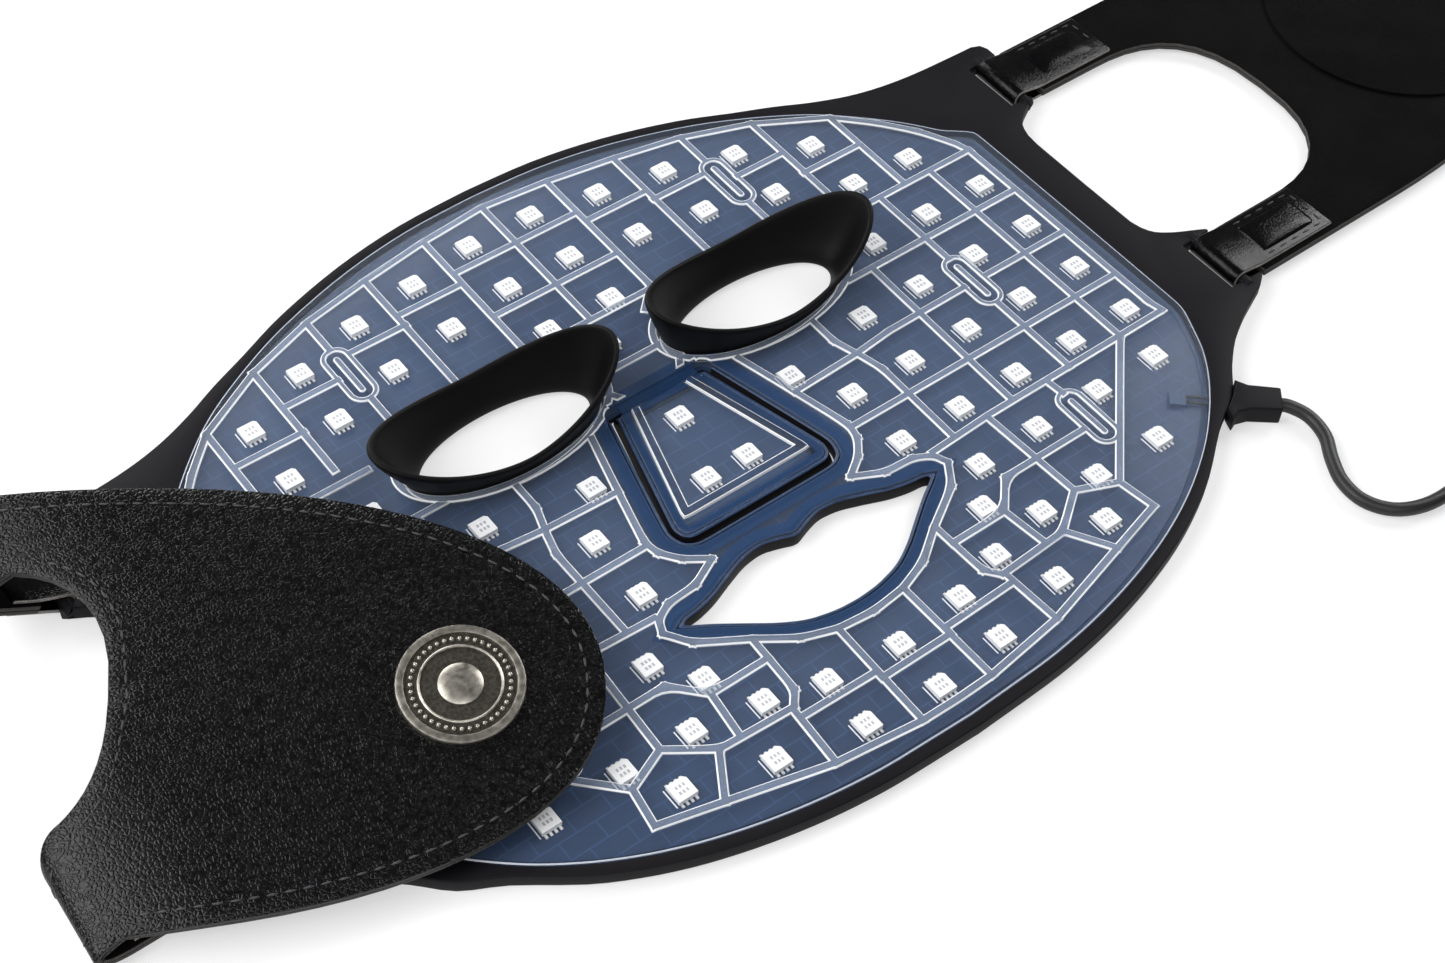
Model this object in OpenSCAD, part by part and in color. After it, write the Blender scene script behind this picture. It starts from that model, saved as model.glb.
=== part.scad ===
// Flexible LED face mask, lying LED side up with its left strap folded over it.
// Sheet coordinates: x across the face, y towards the forehead, z up from the table.
// The origin of the finished part is on the underside, at the bridge of the nose.

/* [Output] */
// node to build, or all

/* [Mask sheet] */
// width of the clear panel
face_width = 248; // [220:1:280]
// height of the clear panel
face_height = 198; // [176:1:224]
// y of the nose bridge on the sheet, taken off every y in the finished part
eye_line = 30; // [20:1:40]
// black border outside the clear panel
border = 3; // [2:0.5:6]
// thickness of the shell floor
floor_thick = 1.6; // [1.2:0.1:2.4]
// height of the shell rim and ears
rim_height = 4; // [3.6:0.1:5]
// width of the black lip round the mouth, the nose slit and the nose flap
lip = 0.9; // [0.6:0.1:1.4]
// fit gap between the clear panel and the rim
panel_gap = 0.15; // [0.1:0.05:0.4]

/* [Circuit and lamps] */
// thickness of the flexible circuit
flex_thick = 0.3; // [0.2:0.05:0.5]
// side of one lamp package
led_side = 5; // [3.5:0.1:6]
// height of one lamp package
led_height = 1.6; // [1:0.1:2]
// depth of the comb of solder legs
leg_out = 0.9; // [0.5:0.1:1.2]

/* [Clear panel] */
// thickness of the clear plate over the lamps
plate_thick = 0.6; // [0.4:0.1:1.2]
// width of a raised rib
rib_width = 2.2; // [1.4:0.1:3]
// height of a rib above the plate
rib_rise = 0.7; // [0.4:0.1:1.5]
// width of the wall round the panel and its openings
skirt = 1.6; // [1:0.1:2.4]
// air over a lamp
lamp_air = 0.1; // [0.05:0.05:0.5]

/* [Eye cups] */
// half length of the neck of an eye cup
neck_long = 27; // [22:0.5:30]
// half height of the neck of an eye cup
neck_tall = 13.2; // [11:0.1:15]
// height of the rim at its two ends
cup_end_rise = 20; // [10:0.5:26]
// height of the rim in the middle
cup_mid_rise = 10.8; // [7:0.1:16]

/* [Ears, bars and tabs] */
// x of the bars that the tabs loop round
bar_x = 144; // [140:0.5:150]
// height of the bar centre
bar_z = 2.9; // [2.6:0.1:3.4]
// radius of a bar
bar_radius = 1.7; // [1.3:0.1:1.9]
// clearance round a bar
bar_gap = 0.1; // [0.05:0.05:0.3]
// y of the strap axis on the sheet
strap_y = 11.5; // [8:0.5:16]
// distance from the strap axis to a tab
tab_offset = 42; // [36:0.5:44]
// width of a tab
tab_width = 16; // [12:0.5:18]
// thickness of the tab leather
tab_thick = 1.1; // [0.8:0.1:1.1]
// length of a tab over the strap
tab_tail = 33; // [20:1:40]

/* [Straps] */
// thickness of the outer leather
leather = 1.2; // [0.8:0.1:1.6]
// thickness of the velvet lining
lining = 1.2; // [0.8:0.1:1.6]
// length of a strap from its bar
strap_long = 163; // [140:1:190]
// half width of a strap
strap_half = 51.5; // [50:0.5:56]
// reach of the straight edges before the strap narrows to its round end
strap_straight = 55; // [40:1:80]
// radius of the flat patch on the right lining
patch_radius = 37; // [24:0.5:40]
// reach of the ear cut-out from the bar
cut_reach = 58.5; // [50:0.5:66]
// half height of the ear cut-out
cut_half = 33; // [28:0.5:35]

/* [Folded strap] */
// turn of the folded flap in plan
fold_turn = -32; // [-40:0.5:-20]
// height of the flap's leather centre at the middle of the flap
fold_z = 14; // [13.6:0.1:20]
// fall of the flap towards its tip
fold_fall = 2.5; // [0:0.5:4]
// tilt of the flap, its forehead side up
fold_tilt = 8; // [0:0.5:10]
// lift of the upper leg from its bar
leg_lift = 35; // [0:1:45]
// radius of the metal badge
badge_radius = 14; // [10:0.5:18]
// thickness of the metal badge
badge_thick = 1.6; // [1:0.1:3]

/* [Lead] */
// diameter of the lead
cord_wide = 3.5; // [2.8:0.1:4]
// pitch of the turns and layers in the coil
coil_pitch = 3.95; // [3.95:0.05:5]
// radius of the outermost turn
coil_radius = 24.5; // [24:0.5:32]
// turns in one layer
coil_turns = 1.875; // [1.875:1:3.875]
// layers in the coil
coil_layers = 4; // [2:2:4]
// height of the boot at the shell
boot_height = 5.4; // [4.8:0.1:7]

/* [Hidden] */
$fn = 48;
flex_z = floor_thick;
lamp_z = floor_thick + flex_thick;
plate_z = lamp_z + led_height + lamp_air;
plate_top = plate_z + plate_thick;
rib_top = plate_top + rib_rise;
sx = face_width / 248;
sy = face_height / 198;
bar_shift = bar_x * sx;
strap_z = tab_thick;
flap_middle = [-107.4, -20];
flap_at = 110;

// layout points scale with the face
function at(p) = [p.x * sx, p.y * sy];
function mirror_x(p) = [-p.x, p.y];
function flip(list) = [for (i = [len(list) - 1:-1:0]) list[i]];
function mirrored(list) = [for (p = list) mirror_x(p)];
function sum_to(v, n) = n < 0 ? 0 : v[n] + sum_to(v, n - 1);

// one point of a smooth curve through four points
function spline(a, b, c, d, t) =
    b + 0.5 * t * (c - a + t * (2 * a - 5 * b + 4 * c - d + t * (3 * (b - c) + d - a)));
// smooth open curve through all the points of a list
function smooth(p, steps) = let (n = len(p)) concat(
    [for (i = [0:n - 2], k = [0:steps - 1])
        spline(p[max(i - 1, 0)], p[i], p[i + 1], p[min(i + 2, n - 1)], k / steps)],
    [p[n - 1]]);
// whole outline from its right half, listed from top to bottom
function whole(half) = concat(half, flip([for (p = mirrored(half)) if (abs(p.x) > 0.01) p]));

// edges of the sheet, right half
panel_top = [[0, 100.3], [20, 99.4], [40, 96], [60, 90], [75, 83.5], [90, 75], [100, 67], [110, 57],
    [117, 48]];
panel_side = [[121.5, 44.5], [123.6, 42.4], [124, 40], [124, 0], [124, -34], [123.6, -38]];
panel_foot = [[121, -44], [117, -52], [110, -61], [100, -70.3], [90, -77.3], [80, -82.8], [70, -87.1],
    [60, -90.4], [50, -93], [40, -95], [30, -96.4], [20, -97.2], [0, -97.8]];
ear_top = [[86, 82], [95, 77.6], [105, 73.7], [115, 71.3], [126, 70], [138, 69.5], [146, 69.3]];
ear_end = [[148.6, 68.3], [149.5, 66], [149.5, 47]];
ear_in = [[148.5, 45], [145, 43.2], [140, 40.2], [136.5, 37], [135, 33]];
ear_side = [[134.6, 29], [134.5, 10], [134.6, -7]];
ear_out = [[135.2, -10], [137, -13.4], [141, -16.4], [146, -19], [148.8, -20.4]];
ear_low = [[149.5, -22.5], [149.5, -38.5], [148.8, -41]];
ear_foot = [[146, -43], [141, -45.2], [135, -48], [127, -52.8], [120, -58.6], [113, -65.6]];

panel_half = [for (p = concat(smooth(panel_top, 4), panel_side, smooth(panel_foot, 4))) at(p)];
border_top = [for (p = [[0, 100.3], [20, 99.4], [40, 96], [60, 90], [75, 83.5]]) at(p) + [0.15, 1] * border];
border_foot = [for (p = [[103, -68], [90, -77.3], [80, -82.8], [70, -87.1], [60, -90.4], [50, -93], [40, -95],
    [30, -96.4], [20, -97.2]]) at(p) + [0.15, -1] * border];
shell_half = concat(
    smooth(concat([[0, 100.3 * sy + border]], [for (i = [1:4]) border_top[i]], [for (p = ear_top) at(p)]), 4),
    [for (p = ear_end) at(p)], smooth([for (p = ear_in) at(p)], 3), [for (p = ear_side) at(p)],
    smooth([for (p = ear_out) at(p)], 3), [for (p = ear_low) at(p)],
    smooth(concat([for (p = ear_foot) at(p)], border_foot, [[0, -97.8 * sy - border]]), 3));

mouth_half = [[0, -36.8], [4, -35.2], [8.5, -33.9], [14, -34.5], [20, -36.7], [26, -39.1], [31, -40.3],
    [35, -40.6], [36.5, -41.4], [35, -42.4], [31, -44.8], [25, -49], [19, -53.3], [13, -56.6], [6, -58.3],
    [0, -58.7]];
flap_half = [[0, 18.4], [12, 18.4], [20.9, -16], [21.2, -18], [20.6, -20.4], [19, -21.7],
    [17, -22], [0, -22]];
slit_half = [[0, 18.7], [13.6, 18.7], [14.4, 18], [14.8, 17], [23.6, -17.5], [23.6, -20], [22.6, -23],
    [20, -24.6], [17, -24.8], [0, -24.8]];

module flat(points) polygon([for (p = points) p]);
module panel_shape() flat(whole(panel_half));
module shell_shape() flat(whole(shell_half));
module mouth_shape() flat(whole([for (p = mouth_half) at(p)]));
module flap_shape() flat(whole([for (p = flap_half) at(p)]));
module slit_shape() flat(whole([for (p = slit_half) at(p)]));
module both() {
    children();
    mirror([1, 0]) children();
}
module eye_shape(grow) both()
    translate([37.5 * sx, 29 * sy])
        polygon([for (i = [0:47]) [(neck_long + grow) * cos(i * 7.5), (neck_tall + grow) * sin(i * 7.5)]]);
module tab_slots() both()
    for (s = [-1, 1])
        translate([bar_shift - 4.6, (strap_y + s * tab_offset) * sy - tab_width / 2 - 1])
            square([14, tab_width + 2]);
// box along the lead's wires, through the rim and the skirt
module wire_way() sheet_lead() translate([-28, -2.2, lamp_z]) cube([26, 4.4, 1.5]);

// rib centre lines, right half, with their ends on the axis where they meet the other half
rib_frame = [[0, 94.8], [19, 93], [38, 90], [57, 86.2], [76, 79.5], [95, 69], [104, 60], [111, 51],
    [116, 41.5], [117.3, 37], [117.5, -31], [118.3, -35.2]];
rib_chin = [[103.5, -35.5], [71, -69.5], [72.5, -79.5], [57, -83.5], [32, -90], [10, -92.8], [0, -93]];
rib_nose = [[22, 14.5], [26.3, -2], [30.3, -18], [29.5, -22.4], [26, -27], [20.5, -30.8], [28, -34.6],
    [36, -35], [40.5, -37.4], [42, -41], [38, -47], [26.5, -54], [18, -60], [9.5, -63], [0, -64]];
rib_flap = [[8.2, 15.4], [17.3, -16.6], [0, -16.6]];
rib_bridge = [[0, 29.5], [9.3, 29.5], [11, 24], [9, 21]];
rib_list = [rib_frame, rib_chin, rib_nose, rib_bridge,
    [[118.3, -35.2], [60, -35.6], [41, -36.5]],
    [[0, 94.5], [0, 46]], [[19, 93], [19, 47], [13, 41]], [[38.3, 90], [38.3, 47]],
    [[57.5, 86], [57.5, 75]], [[57.5, 55.6], [57.5, 45]], [[76.3, 79.5], [76.3, 42]], [[95, 69], [95, 37.5]],
    [[86.3, 37.5], [86.3, 10]], [[86.3, -9], [86.3, -35.5]], [[103.5, 37.5], [103.5, -35.5]],
    [[68.3, 18.5], [67.5, -35.5]],
    [[0, 79], [19, 79]], [[0, 61], [19, 61]], [[0, 46], [19, 46]], [[19, 75], [38, 75]],
    [[38, 71.3], [54, 71.3]], [[61, 65.5], [76, 65.5]], [[76, 56.2], [95, 56.2]],
    [[70, 37.5], [117.4, 37.5]], [[61, 19], [117.4, 19]],
    [[26.3, -2.3], [46.5, -1.5], [58, -0.3], [83, 0]], [[90, 0], [117.4, 0]], [[30.4, -19], [117.4, -19]],
    [[44.5, 13], [44.5, 5], [47, -3], [48.5, -9], [48.3, -35.5]],
    [[59, -35.6], [60.5, -65], [71, -69.5]], [[50, -52.5], [75.5, -52.5]],
    [[50, -52.5], [43, -60], [27, -60]],
    [[43, -60], [44.5, -72.5]], [[26.8, -54], [27.5, -70], [30.5, -73.5], [50, -72.5], [60.5, -65]],
    [[50.5, -73], [57, -83.5]], [[31, -74], [32, -90]], [[9.5, -63], [10, -92.8]], [[0, -79], [10, -79]],
    [[10, -77], [30, -76.5]], [[78.5, -35.6], [79, -41]]];
oblong_list = [[57.7, 65.5], [86.3, 0.7], [79, -50]];

module stroke(a, b, w) translate(a) rotate(atan2(b.y - a.y, b.x - a.x)) translate([-w / 2, -w / 2])
    square([norm(b - a) + w, w]);
module rib_run(list) for (i = [0:len(list) - 2]) stroke(at(list[i]), at(list[i + 1]), rib_width);
module oblong(long, wide) union() {
    square([wide, long - wide], center = true);
    for (s = [-1, 1]) translate([0, s * (long - wide) / 2]) circle(d = wide, $fn = 24);
}
module oblong_rings() both() for (p = oblong_list) translate(at(p)) {
    difference() {
        oblong(20, 8);
        oblong(17, 5);
    }
    oblong(13.5, 1.8);
}
module panel_holes(grow) {
    eye_shape(grow);
    offset(delta = grow + lip) mouth_shape();
    offset(delta = grow + lip) slit_shape();
    translate([-13 * sx, 17 * sy]) square([26 * sx, 3.6 * sy]);
}
module panel_plan() offset(delta = 0.01) difference() {
    offset(delta = -panel_gap) panel_shape();
    panel_holes(0.3);
}
module rib_plan() offset(delta = 0.01) intersection() {
    union() {
        both() for (r = rib_list) rib_run(r);
        oblong_rings();
        difference() {
            eye_shape(0.3 + rib_width + 0.6);
            eye_shape(0.9);
        }
    }
    difference() {
        offset(delta = -panel_gap) panel_shape();
        panel_holes(0.3);
    }
}
module wall_plan() offset(delta = 0.01) union() {
    difference() {
        offset(delta = -panel_gap) panel_shape();
        union() {
            offset(delta = -panel_gap - skirt) panel_shape();
            panel_holes(0.3);
            translate(at(boot_end)) rotate(boot_turn) translate([-28, -2.2]) square([26, 4.4]);
        }
    }
    intersection() {
        panel_holes(0.3 + skirt);
        difference() {
            offset(delta = -panel_gap) panel_shape();
            panel_holes(0.3);
        }
    }
}
module flex_plan() offset(delta = 0.01) difference() {
    offset(delta = -panel_gap - skirt - 0.3) panel_shape();
    union() {
        panel_holes(0.6 + skirt);
        both() for (p = oblong_list) translate(at(p)) square([3.4, 15], center = true);
    }
}

// lamps, right half of the sheet, listed by region
forehead_columns = [[9.5, 86.6, 3], [28.5, 83.2, 2], [47.5, 79.8, 2], [66.6, 74, 2], [85.5, 64.8, 2]];
forehead = concat(
    [for (c = forehead_columns, k = [0:c[2] - 1]) [c[0], c[1] - 18 * k]], [[103.7, 46]]);
cheek_first = [2, 1, 0, 0];
cheek = concat(
    [for (r = [0:3], c = [cheek_first[r]:4]) [38.5 + 18.5 * c, 27 - 18.5 * r]], [[29.8, 3.4]]);
chin = [[49, -45], [68, -44.5], [88, -44.3], [107.2, -44.2], [41, -55.2], [51.3, -64.4], [69.5, -64],
    [89.5, -64], [34, -67.6], [19.4, -71.7], [62, -75], [41, -81], [19.6, -85.5]];
axis_lamps = [[0, 39]];
chin_axis = [[0, -73.5], [0, -87.5]];
nose_lamps = [[0, 9], [6.1, -10], [-6.1, -10]];
all_lamps = concat(forehead, mirrored(forehead), axis_lamps, cheek, mirrored(cheek), chin, mirrored(chin),
    chin_axis);

module lamp() {
    h = led_side / 2;
    translate([0, 0, 0.3]) linear_extrude(led_height - 0.3)
        polygon([[-h, -h], [h, -h], [h, h - 0.7], [h - 0.7, h], [-h, h]]);
}
module legs() {
    h = led_side / 2;
    reach = h + leg_out;
    for (i = [-1.5:1:1.5])
        translate([i * led_side / 4 - 0.3, -reach, 0]) cube([0.6, 2 * reach, 0.3]);
}
module lamps(list) for (p = list) translate([at(p).x, at(p).y, lamp_z]) lamp();
module lamp_feet(list) for (p = list) translate([at(p).x, at(p).y, lamp_z]) legs();

// everything is placed on the sheet, and the sheet is moved to put the nose bridge at the origin
module sheet() translate([0, -eye_line, 0]) children();
// frame at the outer end of the boot, x along the lead as it leaves
boot_end = [121, -74.2];
boot_turn = -41;
module sheet_lead() translate([boot_end.x * sx, boot_end.y * sy, 0]) rotate([0, 0, boot_turn]) children();

module floor_plan() offset(r = 0.3) offset(delta = -0.3) difference() {
    shell_shape();
    union() {
        eye_shape(0.1);
        mouth_shape();
        slit_shape();
        tab_slots();
    }
}
// all of the sheet below the strip on which the nose flap bends
module below_bend() translate([-60 * sx, -60 * sy]) square([120 * sx, (60 + 16.6) * sy]);
module lip_plan() intersection() {
    floor_plan();
    union() {
        offset(delta = lip) mouth_shape();
        intersection() {
            offset(delta = lip) slit_shape();
            below_bend();
        }
    }
}

module back_shell() color("#1e1c20") sheet() difference() {
    union() {
        linear_extrude(floor_thick) floor_plan();
        translate([0, 0, floor_thick]) linear_extrude(rim_height - floor_thick) lip_plan();
        translate([0, 0, floor_thick]) linear_extrude(rim_height - floor_thick)
            offset(r = 0.3) offset(delta = -0.3) difference() {
                shell_shape();
                union() {
                    panel_shape();
                    tab_slots();
                }
            }
        for (m = [-1, 1], s = [-1, 1])
            translate([m * bar_shift, (strap_y + s * tab_offset) * sy, bar_z]) rotate([90, 0, 0])
                cylinder(r = bar_radius, h = tab_width + 6, center = true);
    }
    wire_way();
}

module flex_circuit() color("#1f3350") sheet() translate([0, 0, flex_z])
    linear_extrude(flex_thick) flex_plan();

// the plate with its walls, and the ribs moulded on top of it
module front_panel() color("#c8d4e6") sheet() union() {
    translate([0, 0, lamp_z]) linear_extrude(plate_z - lamp_z) wall_plan();
    translate([0, 0, plate_z]) linear_extrude(plate_thick) panel_plan();
}
module panel_ribs() color("#dbe4f2") sheet()
    translate([0, 0, plate_top]) linear_extrude(rib_rise) rib_plan();

// eye cup as rings: half length, half height, x shift, y shift, height at the ends, height in the middle
cup_rings = [
    [0, 0, 0, 0, 0, 0], [0, 0, 0, 0, 4.6, 4.6], [2, 0.6, 0.5, -0.2, 7.6, 6.3],
    [5, 1.7, 1.3, -0.4, 14, 8.7], [7, 2.5, 1.8, -0.5, 18.8, 10.1], [6.8, 2.4, 1.8, -0.5, 19.7, 10.6],
    [6, 1.8, 1.7, -0.5, 20, 10.8], [5.2, 1.1, 1.7, -0.5, 19.5, 10.5], [3.1, 0, 1.3, -0.5, 13.6, 8.5],
    [0, -1.4, 0.6, -0.6, 7, 5.6], [-3, -2.8, 0.2, -0.8, 3.4, 3.4], [-4, -3.4, 0, -1, 0, 0]];
cup_sides = 48;
function cup_z(r, a) = let (k = pow(abs(cos(a)), 1.6))
    r[4] * cup_end_rise / 20 * k + r[5] * cup_mid_rise / 10.8 * (1 - k);
cup_points = [for (r = cup_rings, i = [0:cup_sides - 1]) let (a = i * 360 / cup_sides)
    [(neck_long + r[0]) * cos(a) + r[2], (neck_tall + r[1]) * sin(a) + r[3], cup_z(r, a)]];
// faces of a closed ring whose section is also a closed ring
function torus_faces(rings, sides) = [for (j = [0:rings - 1], i = [0:sides - 1])
    let (k = (i + 1) % sides, m = (j + 1) % rings)
    each [[j * sides + i, m * sides + i, m * sides + k], [j * sides + i, m * sides + k, j * sides + k]]];
module eye_cup() translate([37.5 * sx, 29 * sy, 0])
    polyhedron(cup_points, torus_faces(len(cup_rings), cup_sides), convexity = 6);
module eye_cup_right() color("#191819") sheet() eye_cup();
module eye_cup_left() color("#191819") sheet() mirror([1, 0, 0]) eye_cup();

module flap_inner(inset) intersection() {
    offset(delta = -inset) flap_shape();
    below_bend();
}
flap_inset = lip + panel_gap;
module nose_flap_shell() color("#1e1c20") sheet() union() {
    linear_extrude(floor_thick) flap_shape();
    translate([0, 0, floor_thick]) linear_extrude(rim_height - floor_thick) difference() {
        flap_inner(0);
        offset(delta = -lip) flap_shape();
    }
}
module nose_flap_circuit() color("#1f3350") sheet() translate([0, 0, flex_z])
    linear_extrude(flex_thick) offset(delta = -skirt - 0.3) flap_inner(flap_inset);
module nose_flap_panel() color("#c8d4e6") sheet() union() {
    translate([0, 0, floor_thick]) linear_extrude(plate_z - floor_thick) difference() {
        flap_inner(flap_inset);
        offset(delta = -skirt) flap_inner(flap_inset);
    }
    translate([0, 0, plate_z]) linear_extrude(plate_thick) flap_inner(flap_inset);
    translate([0, 0, plate_top]) linear_extrude(rib_rise) offset(r = -0.3) offset(r = 0.3) intersection() {
        both() rib_run(rib_flap);
        flap_inner(flap_inset);
    }
}

// tab: a loop round the bar, with one tail under the strap and one over it
module tab_profile(tail) {
    r = bar_radius + bar_gap;
    top = strap_z + leather + lining;
    difference() {
        union() {
            translate([0, bar_z]) circle(r = r + tab_thick);
            translate([0, bar_z - r - tab_thick]) square([tail, tab_thick]);
            polygon([[0, bar_z + r], [0.9, bar_z + r - 0.05], [7.6, top], [tail, top],
                [tail, top + tab_thick], [8.4, top + tab_thick], [1.4, bar_z + r + tab_thick - 0.1],
                [0, bar_z + r + tab_thick]]);
        }
        translate([0, bar_z]) circle(r = r);
        polygon([[0, bar_z - r], [tail + 1, bar_z - r], [tail + 1, top], [7.6, top], [0.9, bar_z + r - 0.05],
            [0, bar_z + r - 0.05]]);
    }
}
module tab(tail) color("#0f0f10") translate([0, tab_width / 2, 0]) rotate([90, 0, 0])
    linear_extrude(tab_width) tab_profile(tail);
module right_tab(s) sheet() translate([bar_shift, (strap_y + s * tab_offset) * sy, 0]) tab(tab_tail);
module left_tab(s) sheet() left_bar(s) mirror([1, 0, 0]) tab(leg_tail[leg(s)]);

// strap pattern: u outwards from the bar, v up from the strap axis
round_power = 2.2;
function edge_v(u) = let (k = max(u - strap_straight, 0) / (strap_long - strap_straight))
    strap_half * pow(max(1 - pow(k, round_power), 0), 1 / round_power);
function cut_v(u) = let (b = cut_reach - 32) u < b ? cut_half
    : u < cut_reach ? cut_half * pow(1 - pow((u - b) / 32, 2.6), 1 / 2.6) : 0;
leg_start = 7;
strap_us = concat([leg_start], [for (a = [0:5:90]) strap_straight + (strap_long - strap_straight) * sin(a)]);
cut_us = concat([leg_start, 16, cut_reach - 32], [for (a = [10:10:90]) cut_reach - 32 + 32 * sin(a)]);
module strap_shape() polygon(concat(
    [for (u = strap_us) [u, edge_v(u)]], flip([for (u = strap_us) [u, -edge_v(u)]]),
    [for (u = cut_us) [u, -cut_v(u)]], flip([for (u = cut_us) [u, cut_v(u)]])));
module right_strap(z, h) sheet() translate([bar_shift, strap_y * sy, z]) linear_extrude(h) strap_shape();
module right_strap_leather() color("#131315") right_strap(strap_z, leather);
module right_strap_lining() color("#0d0c0e") right_strap(strap_z + leather, lining);
module right_strap_patch() color("#141316") sheet()
    translate([bar_shift, strap_y * sy, strap_z + leather + lining]) linear_extrude(0.8)
        translate([strap_long - patch_radius - 14, 0]) circle(r = patch_radius);

// folded left strap: flap pattern laid out from the middle of the flap
function flap_point(u, v, w) = let (
    f = fold_fall, t = fold_turn, across = v * cos(fold_tilt) - w * sin(fold_tilt),
    up = v * sin(fold_tilt) + w * cos(fold_tilt),
    px = (u - flap_at) * cos(f) + up * sin(f), pz = -(u - flap_at) * sin(f) + up * cos(f))
    [flap_middle.x * sx + px * cos(t) - across * sin(t), flap_middle.y * sy + px * sin(t) + across * cos(t),
        fold_z + pz];
// u where the flap starts on the upper and the lower leg, at the cut-out and at the outer edge
flap_start = [[36, 24.5], [50, 64]];
function leg(s) = s < 0 ? 1 : 0;
function start_inner(s) = [flap_start[leg(s)][0], s * cut_v(flap_start[leg(s)][0])];
function start_outer(s) = [flap_start[leg(s)][1], s * edge_v(flap_start[leg(s)][1])];
module flap_frame() translate([flap_middle.x * sx, flap_middle.y * sy, fold_z]) rotate([0, 0, fold_turn])
    rotate([0, fold_fall, 0]) rotate([fold_tilt, 0, 0]) translate([-flap_at, 0, 0]) children();
// side of a leg that is taken off where the flap starts
module leg_side(s) {
    a = start_inner(s);
    b = start_outer(s);
    slope = (b.x - a.x) / (b.y - a.y);
    polygon([[-20, 0], [a.x - slope * a.y, 0], [a.x + slope * (s * 70 - a.y), s * 70], [-20, s * 70]]);
}
module flap_plan() difference() {
    strap_shape();
    union() {
        leg_side(1);
        leg_side(-1);
    }
}
module left_flap_leather() color("#131315") sheet() flap_frame() linear_extrude(leather) flap_plan();
module left_flap_lining() color("#0d0c0e") sheet() flap_frame()
    translate([0, 0, -lining]) linear_extrude(lining) flap_plan();

// flat start of the folded strap's legs between the tab tails, the upper one lifted round its bar
leg_tail = [14, 28];
leg_wide = 18;
function lift(s) = s < 0 ? 0 : leg_lift;
module left_bar(s) translate([-bar_shift, (strap_y + s * tab_offset) * sy, bar_z]) rotate([0, lift(s), 0])
    translate([0, 0, -bar_z]) children();
module left_legs(z, h) sheet() for (s = [-1, 1]) left_bar(s)
    translate([-leg_tail[leg(s)], -leg_wide / 2, z]) cube([leg_tail[leg(s)] - leg_start, leg_wide, h]);
module left_legs_leather() color("#131315") left_legs(strap_z, leather);
module left_legs_lining() color("#0d0c0e") left_legs(strap_z + leather, lining);

// bends between the flat legs and the flap: each edge is a cubic curve
function cubic(a, b, c, d, t) =
    pow(1 - t, 3) * a + 3 * pow(1 - t, 2) * t * b + 3 * (1 - t) * pow(t, 2) * c + pow(t, 3) * d;
function tangent(a, b, c, d, t) =
    3 * pow(1 - t, 2) * (b - a) + 6 * (1 - t) * t * (c - b) + 3 * pow(t, 2) * (d - c);
bend_steps = 16;
bend_reach = [[13, 13], [9, 9]];
function bend_start(s, v) = [-bar_shift, (strap_y + s * tab_offset) * sy + s * (v - leg_wide / 2), bar_z]
    + lifted(s, [-leg_tail[leg(s)], 0, strap_z + leather - bar_z]);
function lifted(s, p) = let (c = cos(lift(s)), d = sin(lift(s))) [p.x * c + p.z * d, p.y, p.z * c - p.x * d];
function bend_stop(s, v, back) = let (p = start_inner(s) + (start_outer(s) - start_inner(s)) * v / leg_wide)
    flap_point(p.x - back * cos(fold_turn), p.y + back * sin(fold_turn), 0);
function bend_ends(s, v) = let (a = bend_start(s, v), k = bend_reach[leg(s)])
    [a, a + lifted(s, [-k[0], 0, 0]), bend_stop(s, v, k[1]), bend_stop(s, v, 0)];
function bend_at(s, v, t) = let (e = bend_ends(s, v)) cubic(e[0], e[1], e[2], e[3], t);
function bend_along(s, v, t) = let (e = bend_ends(s, v)) tangent(e[0], e[1], e[2], e[3], t);
// the leather is on the outside of the bend
function bend_normal(s, t) = t <= 0 ? lifted(s, [0, 0, -1])
    : t >= 1 ? flap_point(0, 0, 1) - flap_point(0, 0, 0)
    : let (n = cross(bend_along(s, leg_wide / 2, t), bend_at(s, leg_wide, t) - bend_at(s, 0, t)))
    s * n / norm(n);
function strip_points(s, low, high) = [for (k = [0:bend_steps])
    let (t = k / bend_steps, n = bend_normal(s, t))
    each [bend_at(s, 0, t) + n * low, bend_at(s, leg_wide, t) + n * low, bend_at(s, leg_wide, t) + n * high,
        bend_at(s, 0, t) + n * high]];
function tube_faces(rings, sides) = concat(
    [for (j = [0:rings - 2], i = [0:sides - 1])
        let (k = (i + 1) % sides, here = j * sides, next = (j + 1) * sides)
        each [[here + i, here + k, next + k], [here + i, next + k, next + i]]],
    [[for (i = [sides - 1:-1:0]) i]], [[for (i = [0:sides - 1]) (rings - 1) * sides + i]]);
// both layers start from the seam between them, so that they meet face to face
module strip(s, thick) {
    faces = tube_faces(bend_steps + 1, 4);
    polyhedron(strip_points(s, 0, thick), s * thick < 0 ? [for (f = faces) flip(f)] : faces, convexity = 4);
}
module left_bends(thick) sheet() {
    strip(1, thick);
    strip(-1, thick);
}
module left_bend_leather() color("#131315") left_bends(leather);
module left_bend_lining() color("#0d0c0e") left_bends(-lining);

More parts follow.
